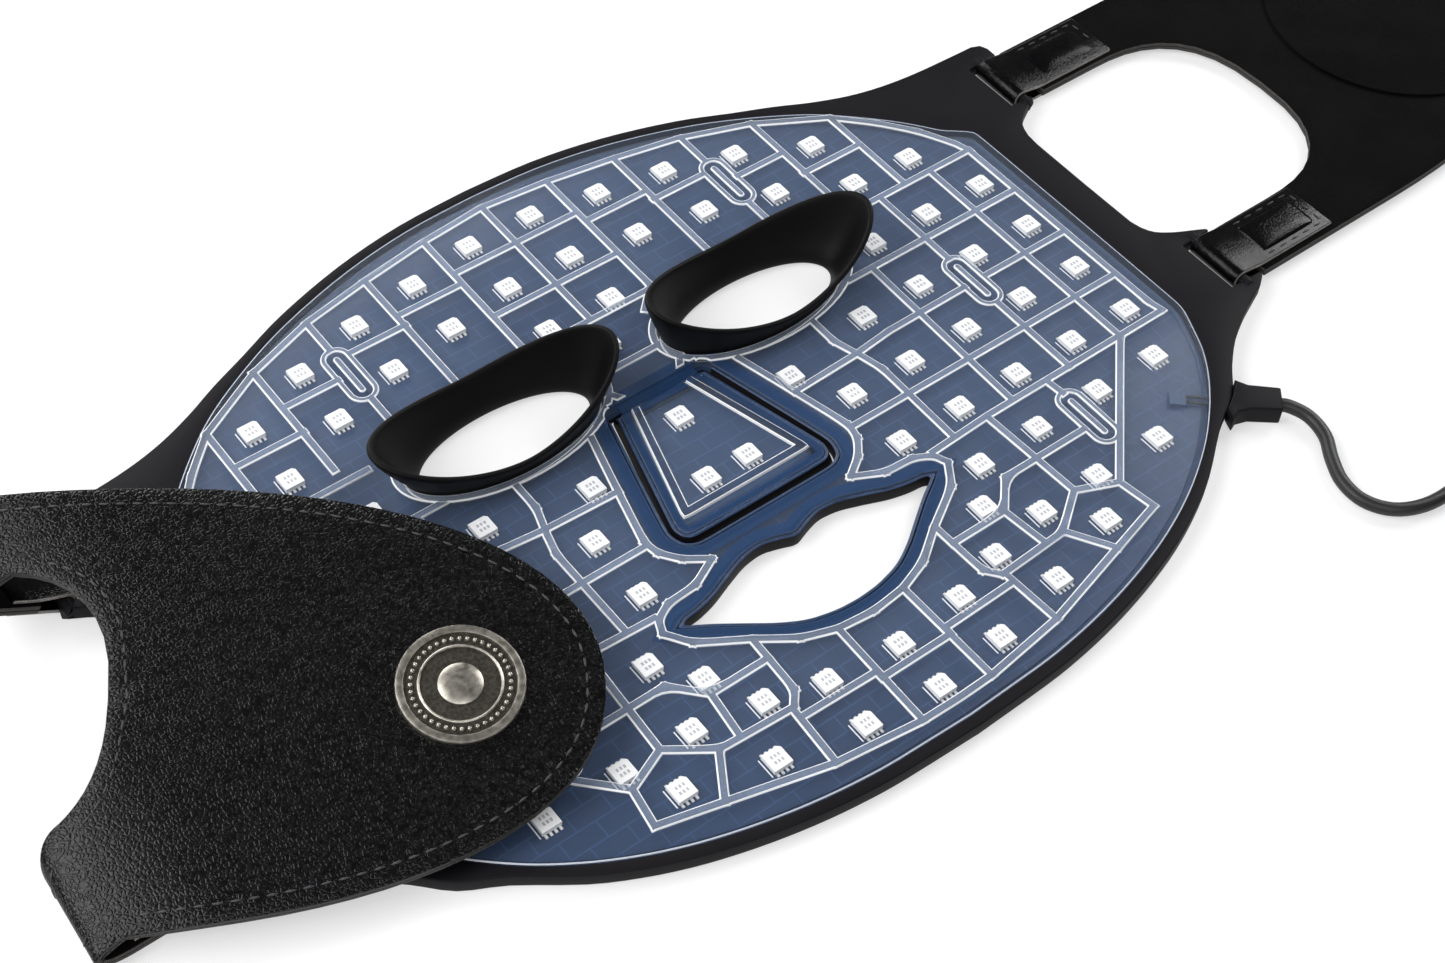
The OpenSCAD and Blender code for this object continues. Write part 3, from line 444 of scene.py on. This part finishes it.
def plateBand(name, nodeName, shape, inside, start, wide, material, body):
    # thin band along one outline of a plate
    bm = copyOf(nodeName)
    shape(bm)
    top = panel["top"] * mm
    outline = [e for e in bm.edges if e.calc_face_angle(0) > 1
               and all(abs(v.co.z - top) < panel["near"] * mm and inside(v.co) for v in e.verts)]
    kept = set(bmesh.ops.duplicate(bm, geom=outline)["geom"])
    bmesh.ops.delete(bm, geom=[v for v in bm.verts if v not in kept], context="VERTS")
    bmesh.ops.remove_doubles(bm, verts=bm.verts, dist=panel["join"] * mm)
    ends = [v for v in bm.verts if len(v.link_edges) == 1]
    while ends:  # an outline is open where the flap bends and where a rib runs out
        v = ends.pop()
        other = min(ends, key=lambda w: (w.co - v.co).length)
        ends.remove(other)
        bm.edges.new((v, other))
    plate = bmesh.ops.edgeloop_fill(bm, edges=bm.edges)["faces"]
    bmesh.ops.recalc_face_normals(bm, faces=bm.faces)
    outer = []
    if start:
        outer = bmesh.ops.inset_region(bm, faces=plate, thickness=start * mm,
                                       use_even_offset=True)["faces"]
    bmesh.ops.inset_region(bm, faces=plate, thickness=wide * mm, use_boundary=True,
                           use_even_offset=True)
    bmesh.ops.delete(bm, geom=list(plate) + list(outer), context="FACES")
    bmesh.ops.recalc_face_normals(bm, faces=bm.faces)
    bmesh.ops.solidify(bm, geom=bm.faces[:], thickness=panel["skin"] * mm)
    bmesh.ops.translate(bm, verts=bm.verts, vec=(0, 0, 0.5 * panel["skin"] * mm))
    finishMesh(name, bm, [material], body)


def byOutline(co):
    return lensShare(co) > panel["outline"]


# a milky line inside the lens outline: painted highlight of the step near the lens edge
plateBand("panelStepHighlight", "front_panel", curvePanel, byOutline, panel["line"], panel["lineWide"],
          ribClear, "mask")
plateBand("mouthBand", "front_panel", curvePanel, byMouth, 0, -panel["band"], deepClear, "mask")
plateBand("slitBand", "front_panel", curvePanel, bySlit, 0, -panel["band"], deepClear, "mask")
plateBand("flapBand", "nose_flap_panel", widenFlap, byFlapEdge, 0, panel["flapBand"],
          deepClear, "nose_flap")

# the clear plate runs on over the strip on which the nose flap bends
low, high = nose["bendLow"], nose["bendHigh"]
bm = bmesh.new()
bmesh.ops.create_grid(bm, x_segments=8, y_segments=6, size=0.5,
                      matrix=Matrix.Translation(spot(0, (low + high) / 2, panel["top"]))
                      @ Matrix.Diagonal((2 * nose["bendHalf"] * mm, (high - low) * mm, 1, 1)))
bmesh.ops.solidify(bm, geom=bm.faces[:], thickness=nose["bendThick"] * mm)
noseBend = finishMesh("noseBend", bm, [deepClear], None)
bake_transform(noseBend)
print("moulded pieces made")

# eye cups: the CAD rings, smoothed
for side in ("left", "right"):
    bm = bmesh.new()
    bm.from_mesh(nodes["eye_cup_" + side].data)
    bmesh.ops.remove_doubles(bm, verts=bm.verts, dist=weld)
    bmesh.ops.join_triangles(bm, faces=bm.faces, angle_face_threshold=math.radians(40),
                             angle_shape_threshold=math.radians(60))
    cup = finishMesh("eyeCup" + side.capitalize(), bm, [cupRubber], "mask", ["eye_cup_" + side],
                     60)
    smoother = cup.modifiers.new("smoother", "SUBSURF")
    smoother.levels = 2
    smoother.render_levels = 2
print("eye cups made")

# lamp layout as in the CAD, in sheet millimetres
lampRules = {"top": 3.5, "flexTop": 1.9, "skin": 0.04, "mark": (0.55, 0.85), "markPitch": (0.95, 0.75),
             "ink": (0.3, 5.2), "inkX": -3.05, "pitch": 18.5, "foreheadPitch": 18}
foreheadColumns = [(9.5, 86.6, 3), (28.5, 83.2, 2), (47.5, 79.8, 2), (66.6, 74, 2), (85.5, 64.8, 2)]
halfLamps = [(x, y - lampRules["foreheadPitch"] * k)
             for x, y, count in foreheadColumns for k in range(count)]
halfLamps += [(103.7, 46)]
halfLamps += [(38.5 + lampRules["pitch"] * c, 27 - lampRules["pitch"] * r)
              for r, first in enumerate((2, 1, 0, 0)) for c in range(first, 5)]
halfLamps += [(29.8, 3.4), (49, -45), (68, -44.5), (88, -44.3), (107.2, -44.2), (41, -55.2),
              (51.3, -64.4), (69.5, -64), (89.5, -64), (34, -67.6), (19.4, -71.7), (62, -75),
              (41, -81), (19.6, -85.5)]
faceLamps = halfLamps + [(-x, y) for x, y in halfLamps] + [(0, 39), (0, -73.5), (0, -87.5)]
noseLamps = [(0, 9), (6.1, -10), (-6.1, -10)]


def addBlock(bm, x, y, z, size):  # low block that stands on z
    high = lampRules["skin"]
    shape = Matrix.Diagonal((size[0] * mm, size[1] * mm, high * mm, 1))
    bmesh.ops.create_cube(bm, size=1.0, matrix=Matrix.Translation(spot(x, y, z + high / 2)) @ shape)


for label, lamps, body in (("face", faceLamps, "mask"), ("nose", noseLamps, "nose_flap")):
    marks = bmesh.new()
    silk = bmesh.new()
    stepX, stepY = lampRules["markPitch"]
    for x, y in lamps:
        for column in (-1, 0, 1):
            for row in (-1, 1):
                addBlock(marks, x + column * stepX, y + row * stepY, lampRules["top"], lampRules["mark"])
        addBlock(silk, x + lampRules["inkX"], y, lampRules["flexTop"], lampRules["ink"])
    finishMesh(label + "LampMarks", marks, [lampGrey], body)
    finishMesh(label + "LampInk", silk, [silkInk], body)
print("lamp details made")

# straps: pattern in millimetres, u outwards from the bar, v up from the strap axis
strap = {
    "long": 163.0, "half": 51.5, "straight": 55.0, "power": 2.2, "start": 7.0,
    "leather": 1.2, "lining": 1.2,
    "cutReach": 58.5, "cutHalf": 33.0, "cutBend": 32.0, "cutPower": 2.6, "columns": 10,
    "axisY": 11.5, "tabOffset": 42.0, "legWide": 18.0, "barX": 144.0, "barZ": 2.9, "seamZ": 2.3,
    "soften": 0.3, "legRows": [12, 17, 22]}
fold = {
    "middle": (-107.4, -20.0), "at": 110.0, "turn": -32.0, "fall": 2.5, "tilt": 8.0, "z": 14.0,
    "lift": {1: 35.0, -1: 0.0}, "tail": {1: 14.0, -1: 28.0}, "from": {1: (36.0, 24.5), -1: (50.0, 64.0)},
    "reach": {1: 13.0, -1: 9.0}, "droop": 2.6, "droopLong": 22.0, "droopWide": 22.0,
    "legSteps": 3, "bendSteps": 20, "slantSteps": 8, "slantTo": 4, "easeSteps": 5}


def edgeV(u):
    k = max(u - strap["straight"], 0) / (strap["long"] - strap["straight"])
    return strap["half"] * max(1 - k ** strap["power"], 0) ** (1 / strap["power"])


def cutV(u):
    bend = strap["cutReach"] - strap["cutBend"]
    if u < bend:
        return strap["cutHalf"]
    if u < strap["cutReach"]:
        k = (u - bend) / strap["cutBend"]
        return strap["cutHalf"] * (1 - k ** strap["cutPower"]) ** (1 / strap["cutPower"])
    return 0.0


def tipRows(angles):  # rows that lie closer together towards the tip
    span = strap["long"] - strap["straight"]
    return [strap["straight"] + span * math.sin(math.radians(a)) for a in angles]


def cutRows(angles):  # rows along the round end of the cut-out
    bend = strap["cutBend"]
    return [strap["cutReach"] - bend + bend * math.sin(math.radians(a)) for a in angles]


def rightPoint(u, v):
    return spot(strap["barX"] + u, strap["axisY"] + v, strap["seamZ"])


flapTurn = (Matrix.Translation(spot(*fold["middle"], fold["z"]))
            @ Matrix.Rotation(math.radians(fold["turn"]), 4, "Z")
            @ Matrix.Rotation(math.radians(fold["fall"]), 4, "Y")
            @ Matrix.Rotation(math.radians(fold["tilt"]), 4, "X"))


def droop(u, v):  # the leather sinks a little before each bend
    side = 1 if v > 0 else -1
    inner, outer = (Vector((w, side * f(w))) for w, f in zip(fold["from"][side], (cutV, edgeV)))
    along = (outer - inner).normalized()
    away = max((Vector((u, v)) - inner).dot(Vector((along.y, -along.x)) * side), 0)
    share = min(abs(v) / fold["droopWide"], 1)
    ease = share * share * (3 - 2 * share)
    return fold["droop"] * max(1 - away / fold["droopLong"], 0) ** 2 * ease


def flapPoint(u, v, w=0.0):
    return flapTurn @ Vector(((u - fold["at"]) * mm, v * mm, (w - droop(u, v)) * mm))


def legPoint(side, out, across):  # on the flat leg, lifted round its bar
    turn = Matrix.Rotation(math.radians(fold["lift"][side]), 3, "Y")
    y = strap["axisY"] + side * (strap["tabOffset"] - strap["legWide"] / 2 + strap["legWide"] * across)
    arm = Vector((-out, 0, strap["seamZ"] - strap["barZ"])) * mm
    return spot(-strap["barX"], y, strap["barZ"]) + turn @ arm


def bendPoint(side, across, t):  # across runs from 0 at the cut-out to 1 at the outer edge
    inner, outer = fold["from"][side]
    u = inner + (outer - inner) * across
    v = side * (cutV(inner) + (edgeV(outer) - cutV(inner)) * across)
    turn, reach = math.radians(fold["turn"]), fold["reach"][side]
    a = legPoint(side, fold["tail"][side], across)
    b = legPoint(side, fold["tail"][side] + reach, across)
    fall = fold["droop"] * (1 + 2 * reach / fold["droopLong"])
    ahead = Vector((u - reach * math.cos(turn) - fold["at"], v + reach * math.sin(turn), -fall))
    c = flapTurn @ (ahead * mm)
    d = flapPoint(u, v)
    return (1 - t) ** 3 * a + 3 * (1 - t) ** 2 * t * b + 3 * (1 - t) * t * t * c + t ** 3 * d


columns = strap["columns"]
acrossSteps = [n / columns for n in range(columns + 1)]
bodyRows = [u for u in tipRows(range(2, 90, 4)) if u > strap["cutReach"] + 1]
bodyRows = [strap["cutReach"]] + bodyRows + [strap["long"] - 0.02]


def rightRows(side):
    rows = []
    for u in [strap["start"]] + strap["legRows"] + cutRows(range(0, 90, 10)) + bodyRows:
        inner, outer = cutV(u), edgeV(u)
        rows.append([rightPoint(u, side * (inner + (outer - inner) * n)) for n in acrossSteps])
    return rows


def leftRows(side):  # flat leg, bend, slanting start of the flap, then straight rows to the tip
    rows = []
    tail = fold["tail"][side]
    for k in range(fold["legSteps"]):
        out = strap["start"] + (tail - strap["start"]) * k / fold["legSteps"]
        rows.append([legPoint(side, out, n) for n in acrossSteps])
    steps = fold["bendSteps"]
    rows += [[bendPoint(side, n, t / steps) for n in acrossSteps] for t in range(steps + 1)]
    inner, outer = fold["from"][side]
    steps, slantTo = fold["slantSteps"], fold["slantTo"]
    for k in range(1, steps + 1):
        u0 = inner + (strap["cutReach"] - inner) * math.sin(k * math.pi / (2 * steps))
        u1 = outer + (bodyRows[slantTo] - outer) * k / steps
        v0, v1 = cutV(u0), edgeV(u1)
        rows.append([flapPoint(u0 + (u1 - u0) * n, side * (v0 + (v1 - v0) * n)) for n in acrossSteps])
    for k in range(slantTo + 1, len(bodyRows)):
        u = bodyRows[k]
        ease = min((k - slantTo) / fold["easeSteps"], 1)
        back = strap["cutReach"] + (u - strap["cutReach"]) * ease
        rows.append([flapPoint(back + (u - back) * n, side * edgeV(u) * n) for n in acrossSteps])
    return rows


def strapSheet(name, rowsOf, outwards, thick, material, rim, replaced):
    bm = bmesh.new()
    for side in (1, -1):
        rows = rowsOf(side)
        last = len(rows) - 1
        for v in bmesh.ops.create_grid(bm, x_segments=columns, y_segments=last, size=0.5)["verts"]:
            v.co = rows[round((v.co.y + 0.5) * last)][round((v.co.x + 0.5) * columns)]
    bmesh.ops.remove_doubles(bm, verts=bm.verts, dist=0.02 * mm)
    bmesh.ops.recalc_face_normals(bm, faces=bm.faces)
    tip = max(bm.faces, key=lambda f: f.calc_center_median().x)
    if tip.normal.z * outwards < 0:
        bmesh.ops.reverse_faces(bm, faces=bm.faces)
    piece = finishMesh(name, bm, [material, rim], None, smooth=80)
    wall = piece.modifiers.new("wall", "SOLIDIFY")
    wall.thickness = thick * mm
    wall.offset = 1.0
    wall.material_offset_rim = 1
    wall.use_even_offset = True
    with bpy.context.temp_override(object=piece, active_object=piece, selected_objects=[piece]):
        bpy.ops.object.modifier_apply(modifier="wall")
    bm = bmesh.new()
    bm.from_mesh(piece.data)
    softenEdges(bm, strap["soften"], 2, 55)
    bm.to_mesh(piece.data)
    bm.free()
    piece.data.set_sharp_from_angle(angle=math.radians(40))
    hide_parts(*replaced)
    return piece


rightLeather = strapSheet("rightStrapLeather", rightRows, -1, strap["leather"], strapLeather, foldedEdge,
                          ["right_strap_leather"])
rightLining = strapSheet("rightStrapLining", rightRows, 1, strap["lining"], velvet, liningEdge,
                         ["right_strap_lining"])
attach(rightLeather, "right_strap")
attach(rightLining, "right_strap")
leftLeather = strapSheet("leftStrapLeather", leftRows, 1, strap["leather"], strapLeather, foldedEdge,
                         ["left_legs_leather", "left_bend_leather", "left_flap_leather"])
leftLining = strapSheet("leftStrapLining", leftRows, -1, strap["lining"], velvet, liningEdge,
                        ["left_legs_lining", "left_bend_lining", "left_flap_lining"])
for piece in (leftLeather, leftLining):
    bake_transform(piece)
print("straps made")

# stitches: short waxed threads sunk in the leather, 4 mm inside the edge
stitch = {
    "pitch": 3.6, "long": 2.7, "wide": 0.65, "high": 0.42, "inset": 4.0,
    "edgeStart": [28, 34, 42, 50], "edgeEnd": 66,  # the run starts on one side and ends on the other
    "cutStart": 38, "cutEnd": 50, "cutU": 3.2, "cutV": 2.4, "bendLines": (0.2, 0.8), "bendSteps": 24}


def addStitches(bm, path, ups):
    run = [0.0]
    for a, b in zip(path, path[1:]):
        run.append(run[-1] + (b - a).length)
    steps = int(run[-1] / (stitch["pitch"] * mm))
    size = Matrix.Diagonal([stitch[key] / 2 * mm for key in ("long", "wide", "high")] + [1])
    k = 0
    for n in range(steps):
        want = (n + 0.5) * run[-1] / steps
        while run[k + 1] < want:
            k += 1
        forward = (path[k + 1] - path[k]).normalized()
        middle = path[k].lerp(path[k + 1], (want - run[k]) / (run[k + 1] - run[k]))
        across = ups[k].cross(forward).normalized()
        turn = Matrix((forward, across, -across.cross(forward))).transposed().to_4x4()
        bmesh.ops.create_uvsphere(bm, u_segments=6, v_segments=4, radius=1.0,
                                  matrix=Matrix.Translation(middle) @ turn @ size)


def leatherPoint(u, v):  # on the outer side of the flap
    return flapPoint(u, v, strap["leather"])


def edgeInset(u, side):  # a point of the outer edge, moved in square to the edge
    a, b = Vector((u - 0.05, edgeV(u - 0.05))), Vector((u + 0.05, edgeV(u + 0.05)))
    along = (b - a).normalized() * stitch["inset"]
    return leatherPoint(u + along.y, side * (edgeV(u) - along.x))


def cutOutset(u, side):  # a point of the cut-out's edge, moved out on to the leather
    return leatherPoint(u + stitch["cutU"], side * (cutV(u) + stitch["cutV"]))


flapUp = (flapPoint(0, 0, 1) - flapPoint(0, 0, 0)).normalized()
bm = bmesh.new()
edgeUs = tipRows(range(0, 90, 3))
edgeRun = [edgeInset(u, 1) for u in stitch["edgeStart"] + edgeUs]
edgeRun += [leatherPoint(strap["long"] - stitch["inset"], 0)]
edgeRun += [edgeInset(u, -1) for u in edgeUs[::-1] if u > stitch["edgeEnd"]]
addStitches(bm, edgeRun, [flapUp] * len(edgeRun))
cutUs = cutRows(range(10, 90, 5))
cutRun = [cutOutset(u, 1) for u in cutUs if u > stitch["cutStart"]]
cutRun += [leatherPoint(strap["cutReach"] + stitch["inset"], 0)]
cutRun += [cutOutset(u, -1) for u in cutUs[::-1] if u > stitch["cutEnd"]]
addStitches(bm, cutRun, [flapUp] * len(cutRun))
finishMesh("leftStrapStitches", bm, [threadGrey], "left_flap", smooth=80)
bm = bmesh.new()
for side in (1, -1):
    for across in stitch["bendLines"]:
        path, ups = [], []
        for k in range(1, stitch["bendSteps"]):
            t = 1 - k / stitch["bendSteps"]
            slope = bendPoint(side, across, t + 0.02) - bendPoint(side, across, t - 0.02)
            level = bendPoint(side, across + 0.1, t) - bendPoint(side, across - 0.1, t)
            up = slope.cross(level).normalized() * side
            path.append(bendPoint(side, across, t) + up * strap["leather"] * mm)
            ups.append(up)
        addStitches(bm, path, ups)
bendStitches = finishMesh("leftBendStitches", bm, [threadGrey], None, smooth=80)
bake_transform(bendStitches)
print("stitches made")

# tabs: polished leather loops with raw cut sides, sewn edges and a padded middle
tab = {"soften": 0.3, "thick": 1.1, "sewnHalf": 6.4, "sewnFrom": 10, "sewnTo": 31, "padAt": 20,
       "padHalfX": 9.6, "padHalfY": 5.4, "padHigh": 0.9, "padSunk": 0.05, "padWall": 0.3}
for side, body in (("right", "right_strap"), ("left", "left_legs")):
    for place in ("upper", "lower"):
        nodeName = side + "_tab_" + place
        bm = copyOf(nodeName)
        softenEdges(bm, tab["soften"])
        for face in bm.faces:
            face.material_index = 1 if abs(face.normal.y) > 0.9 else 0
        finishMesh(side + "Tab" + place.capitalize(), bm, [tabLeather, rawEdge], body, [nodeName])
bm = bmesh.new()
pads = bmesh.new()
topZ = strap["seamZ"] + strap["lining"] + tab["thick"]
upright = [Vector((0, 0, 1))] * 2
sewnSides = (-tab["sewnHalf"], tab["sewnHalf"])
near, far = strap["barX"] + tab["sewnFrom"], strap["barX"] + tab["sewnTo"]
padX = strap["barX"] + tab["padAt"]
for sign in (1, -1):
    middle = strap["axisY"] + sign * strap["tabOffset"]
    for dy in sewnSides:
        addStitches(bm, [spot(x, middle + dy, topZ) for x in (near, far)], upright)
    addStitches(bm, [spot(far, middle + dy, topZ) for dy in sewnSides], upright)
    for v in bmesh.ops.create_grid(pads, x_segments=16, y_segments=10, size=1.0)["verts"]:
        x, y = v.co.xy
        rise = tab["padHigh"] * (1 - x ** 4) * (1 - y ** 4) - tab["padSunk"]
        v.co = spot(padX + x * tab["padHalfX"], middle + y * tab["padHalfY"], topZ + rise)
bmesh.ops.solidify(pads, geom=pads.faces[:], thickness=tab["padWall"] * mm)
finishMesh("rightTabStitches", bm, [threadBlack], "right_strap", smooth=80)
finishMesh("rightTabPads", pads, [tabLeather], "right_strap", smooth=80)

# patch on the right lining: the same pile, with a rounded border
rounded("right_strap_patch", "rightStrapPatch", [velvet], "right_strap", 0.35, 3)
print("tabs and patch made")

# badge: a plain antique disc with a rim, one beaded ring and a low dome
badge = {"radius": 14.0, "thick": 1.6, "fromTip": 31, "sunk": 0.6, "beads": 40, "beadIn": 3.3,
         "beadRadius": 0.62, "beadZ": 0.1}
badgeX = strap["long"] - badge["fromTip"] - fold["at"]
badgeTurn = flapTurn @ Matrix.Translation((badgeX * mm, 0, strap["leather"] * mm))


def spun(profile, steps=72):
    bm = bmesh.new()
    verts = [bm.verts.new((r * mm, 0, z * mm)) for r, z in profile]
    edges = [bm.edges.new((a, b)) for a, b in zip(verts, verts[1:])]
    bmesh.ops.spin(bm, geom=verts + edges, cent=(0, 0, 0), axis=(0, 0, 1), angle=math.tau,
                   steps=steps, use_merge=True)
    bmesh.ops.remove_doubles(bm, verts=bm.verts, dist=weld)
    bmesh.ops.recalc_face_normals(bm, faces=bm.faces)
    return bm


edge, top = badge["radius"], badge["thick"]
sunk = top - badge["sunk"]
bm = spun([(0, 0), (edge - 0.2, 0), (edge, 0.2), (edge, top - 0.35), (edge - 0.15, top - 0.1),
           (edge - 0.5, top), (edge - 1.5, top), (edge - 1.85, top - 0.1), (edge - 2.0, sunk),
           (edge - 4.6, sunk), (edge - 4.75, top - 0.25), (edge - 5.0, top - 0.15),
           (edge - 5.3, top - 0.25), (edge - 5.45, sunk), (0, sunk)])
for face in bm.faces:  # the sunk face is oxidised
    isSunk = face.normal.z > 0.9 and face.calc_center_median().z < (top - 0.5) * mm
    face.material_index = 1 if isSunk else 0
bmesh.ops.transform(bm, matrix=badgeTurn, verts=bm.verts)
finishMesh("badgeDisc", bm, [pewter, pewterDark], "left_flap", ["badge_disc"], 30)
bm = spun([(0, 0), (5, 0), (4.9, 0.25), (4.4, 0.5), (3, 0.82), (1.5, 0.96), (0, 1.0)], 48)
ring = edge - badge["beadIn"]
for k in range(badge["beads"]):
    angle = math.tau * k / badge["beads"]
    place = Vector((ring * math.cos(angle), ring * math.sin(angle), badge["beadZ"])) * mm
    bmesh.ops.create_uvsphere(bm, u_segments=8, v_segments=6, radius=badge["beadRadius"] * mm,
                              matrix=Matrix.Translation(place))
bmesh.ops.transform(bm, matrix=badgeTurn @ Matrix.Translation((0, 0, sunk * mm)), verts=bm.verts)
finishMesh("badgeBoss", bm, [pewter], "left_flap", ["badge_boss"], 40)
print("badge made")

# lead: the CAD route as one curve
lead = {
    "wide": 3.5, "bootEnd": (121.0, -74.2), "turn": -41.0, "bootHeight": 5.4, "plugZ": 3.3,
    "coilCentre": (168.0, -137.0), "coilRadius": 24.5, "pitch": 3.95, "turns": 1.875, "climb": 0.5,
    "swing": 1.3, "layers": 4, "under": 1.2, "steps": 24}
radius = lead["wide"] / 2
coilBase = lead["under"] + radius
heading = (math.cos(math.radians(lead["turn"])), math.sin(math.radians(lead["turn"])))


def leadAt(d, z):  # on the line of the boot
    return Vector((lead["bootEnd"][0] + heading[0] * d, lead["bootEnd"][1] + heading[1] * d, z))


def smoothRun(points, steps):  # smooth curve through all the points
    last = len(points) - 1
    run = []
    for i in range(last):
        a, b, c, d = points[max(i - 1, 0)], points[i], points[i + 1], points[min(i + 2, last)]
        for k in range(steps):
            t = k / steps
            cubic = 3 * (b - c) + d - a
            run.append(b + 0.5 * t * (c - a + t * (2 * a - 5 * b + 4 * c - d + t * cubic)))
    return run + [points[last]]


def coilAt(turn):  # each layer spirals in or out, then half a turn climbs to the next
    layerTurns = lead["turns"] + lead["climb"]
    layer = min(int(turn / layerTurns), lead["layers"] - 1)
    local = turn - layer * layerTurns
    spin, climb = min(local, lead["turns"]), max(local - lead["turns"], 0) / lead["climb"]
    span = lead["turns"] * lead["pitch"]
    inward = layer % 2 == 0
    r = lead["coilRadius"] - (spin * lead["pitch"] if inward else span - spin * lead["pitch"])
    r += (-lead["swing"] if inward else lead["swing"]) * math.sin(climb * math.pi)
    angle = math.radians(90 - turn * 360)
    x, y = lead["coilCentre"]
    z = coilBase + (layer + climb) * lead["pitch"]
    return Vector((x + r * math.cos(angle), y + r * math.sin(angle), z))


coilTop = Vector((lead["coilCentre"][0], lead["coilCentre"][1] + lead["coilRadius"], 0))
freeRun = [leadAt(d, lead["bootHeight"] / 2) for d in (-6.8, -4, -1, 2)]
freeRun += [Vector((x, y, radius + rise)) for x, y, rise in (
    (124.6, -80.6, 0.4), (123.6, -87, 0), (119.6, -93, 0), (116.4, -99.5, 0), (116.2, -106.5, 0),
    (120, -112.5, 0), (127, -116, 0), (136, -116.8, 0), (146, -115.4, 0.3), (157, -113.4, 1))]
freeRun += [coilTop + Vector((-3, 0.1, coilBase)), coilTop + Vector((0, 0, coilBase))]
allTurns = lead["layers"] * lead["turns"] + (lead["layers"] - 1) * lead["climb"]
coilRun = [coilAt(i / lead["steps"]) for i in range(int(lead["steps"] * allTurns) + 1)]
tailTop = coilBase + (lead["layers"] - 1) * lead["pitch"]
plugZ = lead["plugZ"]
tailRun = [coilRun[-2], coilRun[-1]] + [coilTop + Vector(p) for p in (
    (10, -0.6, tailTop - 0.6), (24, -2.5, tailTop * 0.6), (38, -5, plugZ + 1), (48, -7, plugZ),
    (57, -9, plugZ))]
leadRun = smoothRun(freeRun, 5) + coilRun[1:-1] + smoothRun(tailRun, 4)[4:]
leadPoints = [spot(p.x, p.y, p.z) for p in leadRun]
curve = bpy.data.curves.new("leadCord", "CURVE")
curve.dimensions = "3D"
curve.bevel_depth = radius * mm
curve.bevel_resolution = 4
curve.use_fill_caps = True
line = curve.splines.new("POLY")
line.points.add(len(leadPoints) - 1)
for point, place in zip(line.points, leadPoints):
    point.co = (*place, 1)
cord = bpy.data.objects.new("leadCord", curve)
scene.collection.objects.link(cord)
curve.materials.append(cordSleeve)
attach(cord, "mask")
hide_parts("lead_cord", "lead_coil")

# stage: white table that keeps the shadow, soft light, camera fitted to the photograph
bpy.ops.mesh.primitive_plane_add(size=8, location=(0, 0, -0.4 * mm))
table = bpy.context.object
table.name = "table"
material, tree, place = startMaterial("whiteTable")
seen = addNode(tree, "ShaderNodeLightPath")
diffuse = addNode(tree, "ShaderNodeBsdfDiffuse", {"Color": toLinear("#ffffff")})
glow = addNode(tree, "ShaderNodeEmission", {"Color": (1, 1, 1, 1), "Strength": 1.0})
watched = calc(tree, "MAXIMUM", seen.outputs["Is Camera Ray"], seen.outputs["Is Glossy Ray"])
share = calc(tree, "MULTIPLY", watched, 0.5)
mixed = addNode(tree, "ShaderNodeMixShader", {
    0: share, 1: diffuse.outputs["BSDF"], 2: glow.outputs["Emission"]})
addNode(tree, "ShaderNodeOutputMaterial", {"Surface": mixed.outputs["Shader"]})
table.data.materials.append(material)

world = bpy.data.worlds.new("studio")
scene.world = world
world.use_nodes = True
background = world.node_tree.nodes["Background"]
background.inputs["Color"].default_value = (1, 1, 1, 1)
background.inputs["Strength"].default_value = 0.12


def softLamp(name, place, target, sizeX, sizeY, power):  # metres and watts
    light = bpy.data.lights.new(name, "AREA")
    light.shape = "RECTANGLE"
    light.size = sizeX
    light.size_y = sizeY
    light.energy = power
    lamp = bpy.data.objects.new(name, light)
    aim = (Vector(target) - Vector(place)).to_track_quat("-Z", "Y").to_matrix().to_4x4()
    lamp.matrix_world = Matrix.Translation(place) @ aim
    scene.collection.objects.link(lamp)


softLamp("backLamp", (0.1, 1.2, 0.6), (0, 0, 0), 0.9, 0.5, 9.5)
softLamp("rightLamp", (1.1, 0.1, 0.7), (0, 0, 0), 0.5, 0.7, 9.0)
softLamp("leftLamp", (-0.8, 0.3, 0.8), (-0.17, -0.06, 0), 0.9, 0.7, 12.0)
softLamp("frontLamp", (-0.5, -0.9, 1.1), (0, 0, 0), 1.0, 1.0, 8.2)

camera = bpy.data.cameras.new("photoCamera")
camera.lens = 57.30
camera.sensor_width = 36.0
camera.clip_start = 0.01
view = bpy.data.objects.new("photoCamera", camera)
right, up = (0.79455, -0.60652, 0.02874), (0.45777, 0.62944, 0.62789)
back = (-0.39892, -0.48573, 0.77777)
turn = Matrix((right, up, back)).transposed().to_4x4()
view.matrix_world = Matrix.Translation((-0.22007, -0.30632, 0.42439)) @ turn
scene.collection.objects.link(view)
scene.camera = view
scene.view_settings.view_transform = "Standard"
print("stage set")
